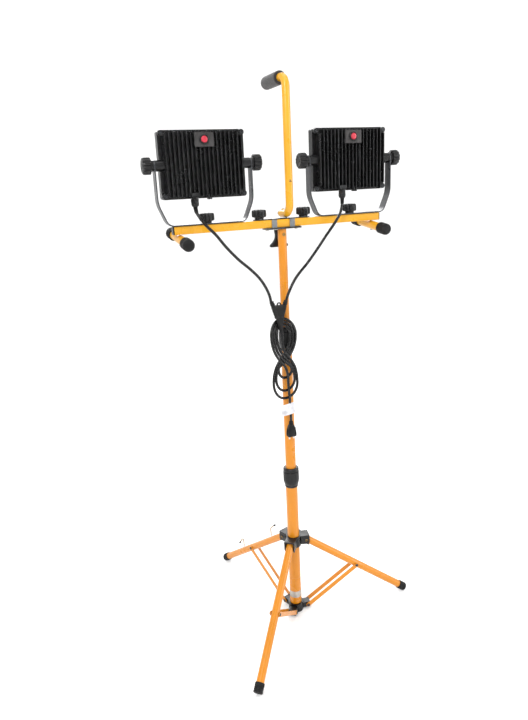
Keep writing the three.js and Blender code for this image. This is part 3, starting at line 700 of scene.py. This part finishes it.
def make_splitter():
    low_z, high_z = low("cord_splitter")[2], high("cord_splitter")[2]
    body = Shape()
    levels = [
        (0.0, -29.5, 5.4, 5.2), (0.12, -29.8, 6.4, 5.7), (0.34, -31, 9.4, 6.2), (0.5, -32, 13.6, 6.3),
        (0.64, -32.5, 17.4, 6.3), (0.76, -32.5, 19.8, 6.2), (0.83, -32.5, 20.4, 6.0),
        (0.87, -32.5, 19.6, 5.4),
        (0.885, -32.5, 17.4, 4.2),
    ]
    rings = []
    for share, x, half, thick in levels:
        z = low_z + share * (high_z - low_z)
        ring = rounded(half, thick, min(half, thick) * 0.72, 5)
        rings.append([(x + a, CORD_Y + b, z) for a, b in ring])
    rings.insert(0, [(-29.5, CORD_Y, low_z)])
    rings.append([(-32.5, CORD_Y, rings[-1][0][2])])
    body.rings(rings)
    for side, foot_x in (("left", -38), ("right", -27)):
        start = LEAD_ROUTES[side][-1]
        top = Vector((start[0], start[1], high_z + 2))
        foot = Vector((foot_x, CORD_Y, 937))
        lift = foot - top
        profile = []
        for i in range(SLEEVE_RIBS * 3 + 1):
            t = i / (SLEEVE_RIBS * 3)
            proud = 0.0 if i % 3 == 1 else 0.75
            profile.append((5.0 + 1.6 * t + proud, t * lift.length))
        aim = lift.to_track_quat("Z", "Y").to_matrix().to_4x4()
        body.turned([(0, 0), *profile, (0, lift.length)], 18, Matrix.Translation(top) @ aim)
    eye = []
    for i in range(24):
        angle = i / 24 * TAU
        centre = Vector((-32.5 + 4.8 * math.cos(angle), CORD_Y, 970.8 + 4.8 * math.sin(angle)))
        outward = Vector((math.cos(angle), 0, math.sin(angle)))
        eye.append([
            centre + 1.8 * (math.cos(a) * outward + math.sin(a) * Vector((0, 1, 0)))
            for a in (j / 8 * TAU for j in range(8))
        ])
    body.rings(eye, closed=True)
    put(body, "splitter_body", RUBBER, "top_mast", "cord_rubber", ("cord_splitter",))
    nose = Shape()
    top = Vector((-29.5, CORD_Y, low_z + 6))
    tip = Vector(SPLIT_NOSE) + Vector((0, 0, -2))
    line = smooth_path([top, top + Vector((0, -0.6, -8)), tip], 9)
    radii = [5.7 - 1.4 * i / (len(line) - 1) + (0.5 if i % 3 else -0.3) for i in range(len(line))]
    nose.tube(line, radii, 18)
    put(nose, "splitter_nose", RUBBER, "top_mast", "cord_rubber")


def make_main_cord():
    route = hank_route()
    main = cord_piece("main_cord", route)
    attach(main, "top_mast")
    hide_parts("cord_bundle", "main_lead")
    plug = make_plug()
    tag = make_tag()
    declare(route)


def make_plug():
    x = TAIL[-1][0]
    low_z, high_z = low("mains_plug")[2], high("mains_plug")[2]
    base = low_z + 9
    tall = high_z - base
    levels = [
        (0.0, 12.2, 8.8), (0.02, 12.8, 9.5), (0.16, 12.9, 9.6), (0.3, 12.4, 9.3), (0.46, 11.0, 8.7),
        (0.6, 9.3, 7.9), (0.7, 7.9, 7.0), (0.74, 7.0, 6.6),
    ]
    body = Shape()
    rings = [[(x, CORD_Y, base)]]
    for share, half, thick in levels:
        ring = rounded(half, thick, min(half, thick) * 0.4, 5)
        rings.append([(x + a, CORD_Y + b, base + share * tall) for a, b in ring])
    rings.append([(x, CORD_Y, rings[-1][0][2])])
    body.rings(rings)
    neck = [(0, 0)]
    for i in range(13):
        neck.append((6.5 - 0.11 * i + (0.55 if i % 3 else -0.35), i))
    neck.append((0, 12))
    body.turned(neck, 20, place(x, CORD_Y, base + 0.72 * tall))
    for side in (-1, 1):
        for level in range(4):
            z = base + (0.14 + 0.09 * level) * tall
            body.slab(rounded(0.9, 5.2, 0.85, 3), 0, 1.1, place(x + side * 12.2, CORD_Y, z, (side, 0, 0)))
    piece = put(body, "plug_body", RUBBER, "top_mast", "cord_rubber", ("mains_plug",))
    pins = Shape()
    for side in (-1, 1):
        pins.rod(2.2, low_z, base + 2, place(x + side * 6.5, CORD_Y, 0), 16, 0.6)
    steel_pins = pins.make("plug_pins", BOLT_STEEL)
    steel_pins.parent = piece
    return piece


def make_tag():
    """A blank film tag folded round the tail."""
    thick = 0.35
    outline = []
    for i in range(17):
        t = i / 16
        fold = 2.2 * math.sin(math.pi * t) ** 2 + 1.1 * math.sin(7.5 * t + 0.6)
        outline.append((-38 + 41 * t, CORD_Y - CORD_R - 1.8 - fold + 4.5 * (1 - t) ** 2 + 3.0 * t ** 6))
    rings = []
    for i in range(9):
        s = i / 8
        z = 663 + 31 * s
        lean = 3.2 * math.sin(3.4 * s + 0.4)
        ring = [(x - 4 * s, y - lean * 0.35, z + (x + 18) * 0.14) for x, y in outline]
        ring += [(a, b + thick, c) for a, b, c in ring[::-1]]
        rings.append(ring)
    tag = Shape()
    tag.rings(rings)
    count = len(rings[0])
    last = len(tag.verts) - count
    tag.faces.append(list(range(count))[::-1])
    tag.faces.append([last + i for i in range(count)])
    return put(tag, "cord_tag", LABEL_PAINTED_SHADE, "top_mast", "cord_rubber", angle=50)


# ---------------------------------------------------------------- pieces shared by several places
def fluted(count, depth, start, end):
    """Soft hand grips: the radius falls a little between lobes, only between two heights."""
    def reach(angle, height):
        if not start <= height <= end:
            return 1.0
        wave = 0.5 - 0.5 * math.cos(count * angle)
        return 1 - depth * (1 - wave) ** 3
    return reach


def knob_piece(node, body, where, radius, tall, neck, stem, lobes=12):
    """A moulded grip knob, drawn up Z from the face that it tightens on, with a steel stud."""
    shape = Shape()
    rim = tall - 3.2
    profile = [
        (0, 0), (radius * 0.62, 0), (radius * 0.64, neck - 1.2), (radius * 0.8, neck),
        (radius * 0.94, neck + 0.6),
        (radius, neck + 2), (radius * 1.01, neck + 5), (radius * 1.01, rim - 3), (radius * 0.985, rim),
        (radius * 0.93, tall - 1.4), (radius * 0.84, tall - 0.4), (radius * 0.74, tall),
        (radius * 0.62, tall),
        (radius * 0.56, tall - 0.9), (radius * 0.3, tall - 1.1), (radius * 0.27, tall - 0.3), (0, tall - 0.2),
    ]
    shape.turned(profile, lobes * 10, where, fluted(lobes, 0.13, neck - 0.1, tall - 0.2))
    name = f"{body}_grip"
    piece = put(shape, name, PLASTIC, body, "black_plastic", (node,), angle=28)
    stud = Shape()
    stud.rod(stem, -stem * 4.6, 0.5, where, 18, 0.5)
    metal = stud.make(f"{name}_stud", BOLT_STEEL)
    metal.parent = piece


def upright_knob(node):
    """A knob that tightens downwards: on the bar, or in a yoke."""
    place_at = place(middle(node)[0], 0, high(node)[2] - KNOB_TALL)
    knob_piece(node, node, place_at, 18.3, KNOB_TALL, 5, 3)


def washer(shape, where, outer, inner, thick):
    shape.turned(
        [(inner, 0), (outer - 0.3, 0), (outer, 0.3), (outer, thick - 0.3), (outer - 0.3, thick),
        (inner, thick)],
        36, where, closed=True,
    )


def dome(shape, where, radius, tall, sides=24):
    """A rivet head."""
    profile = [(radius * 0.96, 0), (radius, tall * 0.2)]
    for i in range(1, 6):
        angle = i / 6 * math.pi / 2
        profile.append((radius * math.cos(angle), tall * (0.2 + 0.8 * math.sin(angle))))
    shape.turned([(0, 0), *profile, (0, tall)], sides, where)


def cross_screw(shape, where, radius, tall):
    """A pan head with a dished middle."""
    shape.turned(
        [(0, 0), (radius, 0), (radius, tall * 0.45), (radius * 0.9, tall * 0.8), (radius * 0.72, tall),
         (radius * 0.6, tall)], 48, where,
    )
    shape.turned(
        [(radius * 0.6, tall), (radius * 0.56, tall * 0.98), (radius * 0.3, tall * 0.4), (0, tall * 0.35)],
        48, where,
    )


def hexagon(r):
    return [(r * math.cos(a), r * math.sin(a)) for a in (i / 6 * TAU for i in range(6))]


def hex_head(shape, where, across, tall):
    r = across / math.sqrt(3)
    shape.slab(hexagon(r), 0, tall * 0.8, where)
    shape.turned([(0, tall * 0.78), (across * 0.49, tall * 0.78), (across * 0.44, tall),
    (0, tall)], 30, where)


def leg_frame(i):
    """A leg's pin, its direction towards the foot, and the direction of its pin."""
    pin = joint_place(f"leg_{i}_hinge")
    down = (Vector(middle(f"leg_foot_{i}")) - pin).normalized()
    return pin, down, joint_axis(f"leg_{i}_hinge")


# ---------------------------------------------------------------- kept CAD nodes
def keep(node, material, bevel=0.0, segments=2, angle=30):
    piece = NODES[node]
    mesh = piece.data
    if "custom_normal" in mesh.attributes:
        mesh.attributes.remove(mesh.attributes["custom_normal"])
    mesh.materials.clear()
    mesh.materials.append(material)
    mesh.polygons.foreach_set("use_smooth", [True] * len(mesh.polygons))
    weld = piece.modifiers.new("weld", "WELD")
    weld.merge_threshold = 0.00001
    add_bevel(piece, bevel or 0.2, segments, angle)


def keep_nodes():
    yellow = [("lower_mast_tube", 0.4), ("middle_mast_tube", 0.4), ("top_mast_tube", 0.4)]
    yellow += [(f"leg_tube_{i}", 0.3) for i in (1, 2, 3)] + [(f"brace_{i}", 0.5) for i in (1, 2, 3)]
    for node, bevel in yellow:
        keep(node, YELLOW, bevel)
    # The upper pieces take the lit copy of the yellow paint: painted light, not a second paint.
    keep("crossbar", YELLOW_LIT_COPY, 0.4)
    for node in ("handle_tube", "stand_tube_left", "stand_tube_right"):
        keep(node, YELLOW_LIT_COPY, 0.3)
    keep("leg_hub", PLASTIC, 0.7, 3)
    keep("brace_hub", PLASTIC, 0.7, 3)
    keep("mast_bracket", BRACKET, 0.5)
    for i in (1, 2):
        keep(f"cord_hook_{i}", BRASS, 0.3)
    for side in SIDES:
        keep(f"housing_{side}", CASTING, 0.55, 2)
        keep(f"bezel_{side}", CASTING, 1.2, 3)
        keep(f"lens_{side}", GLASS, 0.4)
        keep(f"led_board_{side}", BOARD, 0.2)
        keep(f"yoke_{side}", YOKE, 0.6, 2)


# ---------------------------------------------------------------- mast and tripod
def collar_piece(node, body):
    x0, _, z0 = low(node)
    z1 = high(node)[2]
    outer = -x0
    tall = z1 - z0
    shape = Shape()
    inner = outer - 5.3 if node == "lower_twist_collar" else outer - 4.1
    upper_inner = inner - 2.3 if node == "lower_twist_collar" else inner - 3.7
    profile = [
        (inner, 0), (outer - 3.4, 0), (outer - 2.6, 0.9), (outer - 1.3, 6.5), (outer - 0.4, 10),
        (outer, 14), (outer, tall * 0.74), (outer - 0.4, tall * 0.77), (outer - 2.0, tall * 0.785),
        (outer - 2.0, tall * 0.815), (outer - 0.7, tall * 0.83), (outer - 0.5, tall * 0.86),
        (outer - 0.7, tall - 3.6), (outer - 1.8, tall - 1.2), (outer - 3.2, tall),
        (upper_inner + 0.4, tall), (upper_inner, tall - 0.6), (upper_inner, tall * 0.5), (inner, tall * 0.48),
    ]
    def ribs(angle, height):
        gripped = 13.9 <= height <= tall * 0.745
        return 1 - (0.035 if gripped and math.cos(28 * angle) < -0.1 else 0)
    shape.turned(profile, 224, place(0, 0, z0), ribs, closed=True)
    put(shape, f"{node}_moulding", PLASTIC, body, "black_plastic", (node,), angle=40)


def foot_piece(i):
    _, down, _ = leg_frame(i)
    centre = Vector(middle(f"leg_foot_{i}"))
    half = 13
    shape = Shape()
    profile = [(0, 0), (9.4, 0), (11.6, 0.7), (12.7, 2.2), (13, 4)]
    for ring in range(3):
        z = 7.5 + 4.2 * ring
        profile += [(13, z - 1.2), (12.3, z - 0.6), (12.3, z + 0.6), (13, z + 1.2)]
    profile += [(13, 22), (12.8, 24.6), (12.2, 26), (11.4, 26), (11.3, 25.4), (11.3, 22), (0, 22)]
    shape.turned(profile, 40, place(*(centre + down * half), -down))
    for k in range(5):
        angle = k / 5 * TAU
        side = down.orthogonal().normalized()
        around = math.cos(angle) * side + math.sin(angle) * down.cross(side)
        spot = centre + down * (half - 0.1) + 7 * around
        shape.rod(1.4, 0, 0.5, place(*(spot - down * 0.3), down), 12, 0.1)
    put(shape, f"leg_foot_{i}_tip", RUBBER, f"leg_{i}", "black_rubber", (f"leg_foot_{i}",))


def tripod_rivets():
    for i in (1, 2, 3):
        pin, down, across = leg_frame(i)
        hub = Shape()
        for side in (-1, 1):
            dome(hub, place(*(pin + across * side * 15.4), across * side), 4.3, 2.2)
        put(hub, f"hub_rivets_{i}", BRASS, "leg_hub", "bracket_steel")
        foot = joint_place(f"brace_{i}_hinge")
        outward = Vector((foot.x, foot.y, 0)).normalized()
        lean = math.asin(min(1.0, -down.z))
        reach = Vector((outward.x * math.cos(lean), outward.y * math.cos(lean), math.sin(lean)))
        top = foot + reach * 194.7
        bars = Shape()
        for out in (across * -1, across):
            for pin, ring, head in ((foot, (5.2, 3.0, 0.7), (4.6, 2.2)), (top, (4.6, 1.0, 0.6), (4.2, 2.1))):
                washer(bars, place(*(pin + out * 14.1), out), *ring)
                dome(bars, place(*(pin + out * 14.6), out), *head)
        put(bars, f"brace_rivets_{i}", DARK_STEEL, f"brace_{i}", "bracket_steel")


def hook_tips():
    across = math.radians(HOOK_HEADING)
    outward = Vector((math.sin(across), -math.cos(across), 0))
    for i, lean in ((1, -1), (2, 1)):
        verts = [v.co * 1000 for v in NODES[f"cord_hook_{i}"].data.vertices]
        end = max(verts, key=lambda v: lean * v.dot(outward) + 0.2 * v.z)
        near = [v for v in verts if (v - end).length < 4.2]
        tip = sum(near, Vector()) / len(near)
        direction = (outward * lean + Vector((0, 0, 0.9 if i == 1 else -1.5))).normalized()
        shape = Shape()
        shape.turned(
            [(0, 0), (2.4, 0), (2.8, 0.6), (2.9, 6.5), (2.5, 8), (1.5, 8.9), (0, 9.1)], 20,
            place(*(tip - direction * 5.5), direction),
        )
        put(shape, f"hook_tip_{i}", RUBBER, "leg_3", "black_rubber")


def mast_trim():
    band = Shape()
    band.turned(
        [(17.6, 0), (17.85, 0), (17.85, 21), (17.6, 21)], 64, place(0, 0, 50), closed=True,
    )
    put(band, "blank_band", FOIL, "mast_base", "bracket_steel")
    screw = Shape()
    cross_screw(screw, place(0, -11.3, 1147, "-y"), 4.6, 2.6)
    put(screw, "top_tube_screw", BRASS, "top_mast", "bracket_steel")
    for node, body in (("lower_twist_collar", "mast_base"), ("upper_twist_collar", "middle_mast")):
        radius = -low("lower_mast_tube" if body == "mast_base" else "middle_mast_tube")[0]
        ring = Shape()
        ring.turned(
            [(radius + 0.1, 0), (radius + 1.4, 0), (radius + 1.8, 0.6), (radius + 1.8, 5.4),
            (radius + 1.2, 6.4),
             (radius + 0.1, 6.4)], 56, place(0, 0, low(node)[2] - 7.2), closed=True,
        )
        put(ring, f"{node}_stop_ring", PLASTIC, body, "black_plastic")


def make_tripod():
    for i in (1, 2, 3):
        foot_piece(i)
    tripod_rivets()
    hook_tips()
    collar_piece("lower_twist_collar", "lower_collar")
    collar_piece("upper_twist_collar", "upper_collar")
    pin = Vector(joint_place("hub_knob_turn"))
    outward = Vector((pin.x, pin.y, 0)).normalized()
    face = outward * 29.3 + Vector((0, 0, 244))
    knob_piece("hub_lock_knob", "hub_knob", place(*face, outward), 12, 17, 4, 3, 8)
    mast_trim()


# ---------------------------------------------------------------- crossbar, bracket and handle
def cap_piece(side, end):
    node = f"stand_cap_{side}_{end}"
    rear, front = Vector(middle(f"stand_cap_{side}_rear")), Vector(middle(f"stand_cap_{side}_front"))
    outward = (rear - front).normalized() * (1 if end == "rear" else -1)
    mouth = Vector(middle(node)) - 17 * outward
    shape = Shape()
    profile = [(11.4, 0), (14, 0), (14.9, 0.9)]
    for ring in range(4):
        at = 5 + 4.6 * ring
        profile += [(15, at - 1.1), (14.4, at - 0.5), (14.4, at + 0.5), (15, at + 1.1)]
    profile += [(15, 26), (14.6, 28.6), (13.4, 31), (11.2, 32.8), (8, 33.7), (3, 34), (0, 34)]
    shape.turned(profile, 40, place(*mouth, outward))
    put(shape, f"{node}_moulding", RUBBER, "top_mast", "black_rubber", (node,))


def crossbar_trim():
    ends = Shape()
    x1 = high("crossbar")[0]
    z = middle("crossbar")[2]
    for side in (-1, 1):
        where = place(side * (x1 - 0.1), 0, z, (side, 0, 0))
        ends.slab(rounded(9.9, 9.9, 2.2, 5), 0, 2.2, where)
        ends.slab(rounded(8.6, 8.6, 1.6, 5), 2.0, 3.2, where)
        ends.slab(rounded(8.2, 8.2, 1.2, 4), -9, 0.1, where)
    put(ends, "crossbar_end_plugs", PLASTIC, "top_mast", "black_plastic", bevel=0.5)
    bolts = Shape()
    for x in (-270, 270):
        dome(bolts, place(x, 0, high("crossbar")[2], "z"), 4.4, 2.2)
        hex_head(bolts, place(x, 0, middle("stand_tube_left")[2] - 12.1, "-z"), 9, 3.4)
    put(bolts, "stand_bolts", BOLT_STEEL, "top_mast", "bracket_steel")
    washers = Shape()
    for side in SIDES:
        x = middle(f"bar_knob_{side}")[0]
        washer(washers, place(x, 0, high("mast_bracket")[2]), 9, 3.4, 0.25)
    put(washers, "bar_knob_washers", BOLT_STEEL, "top_mast", "bracket_steel")
    screws = Shape()
    for x in (-25, 25):
        for y in (-6, 6):
            dome(screws, place(x, y, low("mast_bracket")[2] + 34.2, "-z"), 2.8, 1.2)
    under = high("crossbar")[2] - 20 - 0.3 - 4
    for x in (-41, 41):
        hex_head(screws, place(x, 0, under, "-z"), 8, 3.2)
    put(screws, "bracket_bolts", BOLT_STEEL, "top_mast", "bracket_steel")


def clamp_piece():
    _, y1, z1 = high("clamp_handle")
    z0 = low("clamp_handle")[2]
    tube = 12.5
    grip_y = y1 - 5.5
    levels = [
        (0.0, 22.5, 4.4), (0.015, 24.6, 5.6), (0.06, 25.8, 6.3), (0.14, 24.8, 6.4), (0.26, 19.5, 6.1),
        (0.4, 14.2, 5.7), (0.56, 11.0, 5.5), (0.72, 10.6, 5.6), (0.86, 11.9, 5.9), (0.95, 12.6, 5.8),
        (0.985, 12.0, 5.0), (1.0, 10.2, 3.6),
    ]
    shape = Shape()
    rings = [[(0, grip_y, z0)]]
    for share, half, thick in levels:
        ring = rounded(half, thick, thick * 0.75, 6)
        rings.append([
            (a, grip_y + b + 2.2 * (1 - share) ** 3 - 1.0, z0 + share * (z1 - z0)) for a, b in ring
        ])
    rings.append([(0, grip_y - 1, z1)])
    shape.rings(rings)
    shape.turned(
        [(0, 0), (8.6, 0), (8.6, 2), (7.4, 3), (7.2, 8), (8.4, 11), (0, 12)], 32,
        place(0, tube - 0.6, 1138, "y"),
    )
    put(shape, "clamp_grip", PLASTIC, "clamp_handle", "black_plastic", ("clamp_handle",), angle=50)
    bolt = Shape()
    bolt.rod(3.2, 0, 4, place(0, 11.2, 1138, "y"), 18)
    put(bolt, "clamp_stud", BOLT_STEEL, "clamp_handle", "bracket_steel")


def handle_trim():
    x = middle("handle_tube")[0]
    bottom = low("handle_tube")[2] + 10
    y_end = 32
    grip = Shape()
    near, far = low("handle_grip")[1], high("handle_grip")[1]
    span = far - near
    profile = [(10.4, 0), (13.8, 0), (15.2, 0.5), (16.2, 1.8)]
    for i in range(1, 24):
        t = i / 24
        profile.append((16.35 + 0.15 * math.sin(math.pi * t), 1.8 + t * (span - 5.4)))
    profile += [(16.3, span - 3.0), (15.6, span - 1.1), (13.9, span - 0.1), (11.2, span)]
    profile += [(10.2, span - 0.8), (9.2, span - 2.6), (0, span - 2.8)]
    z = middle("handle_grip")[2]
    grip.turned(profile, 56, place(x, near, z, "y"))
    piece = put(grip, "foam_grip", FOAM, "top_mast", "grip_foam", ("handle_grip",), angle=55)
    end = Shape()
    end.turned(
        [(0, 0), (9.6, 0), (9.9, 0.5), (9.9, 2.2), (9.2, 3), (0, 3.2)], 32,
        place(x, y_end - 0.4, bottom, "y"),
    )
    put(end, "handle_end_plug", BRASS, "top_mast", "hook_wire")
    lug = Shape()
    lug.slab(rounded(7.5, 3.0, 2.4, 5), 0, 11, place(x, y_end - 1, bottom, "y"))
    cross_screw(lug, place(x, y_end - 10, bottom + 9.6, "z"), 4.6, 2.6)
    dome(lug, place(x, -29.8, bottom + 80, "-y"), 3.4, 1.6)
    put(lug, "handle_fixings", BRASS, "top_mast", "hook_wire")


def make_bar():
    for side in SIDES:
        for end in ("front", "rear"):
            cap_piece(side, end)
        upright_knob(f"bar_knob_{side}")
    crossbar_trim()
    clamp_piece()
    handle_trim()


# ---------------------------------------------------------------- heads
def head_screws(side):
    body = f"head_{side}"
    centre = joint_place(f"head_{side}_tilt")
    lo, hi = Vector(low(f"bezel_{side}")), Vector(high(f"bezel_{side}"))
    back = Shape()
    front = Shape()
    rims = Shape()
    for x in (lo.x + 7.5, hi.x - 7.5):
        for z in (lo.z + 7.5, hi.z - 7.5):
            rims.turned(
                [(4.6, 0), (6.9, 0), (6.9, 1.4), (6.3, 2.0), (5.2, 2.0), (4.6, 1.5)], 32,
                place(x, -5.9, z, "-y"), closed=True,
            )
            back.turned(
                [(0, 0), (4.2, 0), (4.2, 0.8), (3.7, 1.5), (2.0, 1.6), (1.8, 0.4), (0, 0.4)], 24,
                place(x, -5.9, z, "-y"),
            )
            cross_screw(front, place(x, hi.y - 0.1, z, "y"), 3.4, 1.6)
    for piece, name in ((back, "rear"), (front, "front")):
        put(piece, f"{name}_screws_{side}", DARK_STEEL, body, "bracket_steel")
    put(rims, f"screw_rims_{side}", CASTING, body, "black_casting")
    marks = Shape()
    crest = low(f"housing_{side}")[1] + 3.5
    for dx, dz in ((-52, 20), (-52, -34), (52, 22), (52, -32), (0, -8)):
        marks.rod(2.5, 0, 12, place(centre.x + dx, crest + 11.5, centre.z + dz, "-y"), 16, 0.4)
    put(marks, f"ejector_pads_{side}", CASTING, body, "black_casting")


def head_button(side):
    x, _, z = middle(f"button_{side}")
    back = low(f"button_{side}")[1]
    red = Shape()
    red.turned(
        [(0, 10), (8, 10), (8, 2.4), (7.6, 1.2), (6.6, 0.35), (4.6, 0.05), (2, 0.25), (0, 0.35)], 40,
        place(x, back, z, "y"),
    )
    put(red, f"button_{side}_cap", RED, f"button_{side}", "red_button", (f"button_{side}",))
    ring = Shape()
    ring.turned(
        [(8.3, 0), (11.6, 0), (12.1, 0.6), (11.9, 2.2), (10.8, 3.4), (9.2, 3.7), (8.5, 3.2), (8.3, 2.6)], 48,
        place(x, back + 4.2, z, "-y"), closed=True,
    )
    put(ring, f"button_ring_{side}", PLASTIC, f"head_{side}", "black_plastic")
    pad = Shape()
    pad.slab(rounded(23.4, 15.9, 2.2, 5), 0, 0.5, place(x, back + 4.05, z - 0.5, "-y"))
    put(pad, f"switch_pad_{side}", PAD, f"head_{side}", "black_casting", bevel=0.2)


def head_gland(side):
    x, y, _ = middle(f"gland_{side}")
    top = high(f"gland_{side}")[2]
    foot = low(f"gland_{side}")[2] + 1.2
    shape = Shape()
    collar = [(0, 2), (8.2, 2), (8.2, 0), (9.2, -0.8), (9.2, -2.4), (8.0, -3.2), (8.0, -5), (0, -5)]
    shape.turned(collar, 32, place(x, y, top))
    shape.slab(hexagon(10.2), -12.5, -4.6, place(x, y, top))
    dome_nut = [(0, -12), (9.2, -12), (9.4, -14.4), (9.2, -18), (8.2, -21), (6.8, -22.6),
    (5.4, -23.2), (0, -23.2)]
    def splines(angle, height):
        return 1 - (0.035 if math.cos(14 * angle) < -0.2 and height < -12.2 else 0)
    shape.turned(dome_nut, 112, place(x, y, top), splines)
    put(shape, f"gland_{side}_nut", PLASTIC, f"head_{side}", "black_plastic", (f"gland_{side}",), bevel=0.3)
    relief = Shape()
    route = smooth_path(LEAD_ROUTES[side], 6)
    line = [Vector((x, y, top - 20))] + [p for p in route if foot - 13 < p.z < foot + 1.5]
    line = smooth_path(line, 4)
    radii = []
    for i in range(len(line)):
        t = i / (len(line) - 1)
        radii.append(5.3 - 1.1 * t + (0.35 if i % 3 else -0.25))
    relief.tube(line, radii, 20)
    put(relief, f"gland_{side}_relief", RUBBER, f"head_{side}", "cord_rubber")


def head_front(side):
    centre = joint_place(f"head_{side}_tilt")
    face = high(f"led_board_{side}")[1]
    chips = Shape()
    domes = Shape()
    for column in range(-3, 4):
        for row in range(-2, 3):
            x, z = centre.x + column * 21, centre.z + row * 19
            chips.slab(rounded(3.4, 3.4, 0.7, 3), 0, 0.9, place(x, face - 0.2, z, "y"))
            domes.turned([(2.3, 0), (2.2, 0.25), (1.5, 0.5), (0, 0.6)], 20, place(x, face + 0.7, z, "y"))
    put(chips, f"led_packages_{side}", BOARD, f"head_{side}", "led_board", bevel=0.15)
    put(domes, f"led_phosphor_{side}", CHIP, f"head_{side}", "led_board")
    tray = Shape()
    depth = 14.0 - face
    inner, outer = (81, 53), (85.4, 60.4)
    rings = []
    for (w, h), grown, d in ((inner, 0, 0.2), (outer, 0, depth), (outer, 0.4, depth), (inner, 1.2, 0.2)):
        edge = rounded(w + grown, h + grown, 5, 4)
        rings.append([(centre.x + a, face + d, centre.z + b) for a, b in edge])
    tray.rings(rings, closed=True)
    put(tray, f"reflector_{side}", BRACKET_STEEL, f"head_{side}", "bracket_steel")
    gasket = Shape()
    rings = []
    for w, h, y in ((85.9, 60.9, 18.2), (84.2, 59.2, 18.2), (84.2, 59.2, 19.6), (85.9, 60.9, 20.4)):
        rings.append([(centre.x + a, y, centre.z + b) for a, b in rounded(w, h, 3, 4)])
    gasket.rings(rings, closed=True)
    put(gasket, f"lens_gasket_{side}", RUBBER, f"head_{side}", "black_rubber")


def head_knobs(side):
    centre = joint_place(f"head_{side}_tilt")
    for end in ("outer", "inner"):
        node = f"tilt_knob_{side}_{end}"
        outwards = 1 if middle(node)[0] > centre.x else -1
        tip = high(node)[0] if outwards > 0 else low(node)[0]
        face = place(tip - outwards * TILT_KNOB_TALL, 0, centre.z, (outwards, 0, 0))
        knob_piece(node, node, face, 19.8, TILT_KNOB_TALL, 6, 3.6)
        trim = Shape()
        yoke_face = centre.x + outwards * YOKE_HALF
        washer(trim, place(yoke_face - outwards * 1.6, 0, centre.z, (-outwards, 0, 0)), 9.5, 4.4, 0.12)
        put(trim, f"{node}_washer", BOLT_STEEL, f"yoke_{side}", "bracket_steel")
    upright_knob(f"yoke_knob_{side}")


def make_heads():
    for side in SIDES:
        head_screws(side)
        head_button(side)
        head_gland(side)
        head_front(side)
        head_knobs(side)


make_camera()
make_leads()
make_splitter()
make_main_cord()
keep_nodes()
make_tripod()
make_bar()
make_heads()
make_studio()
make_floor()
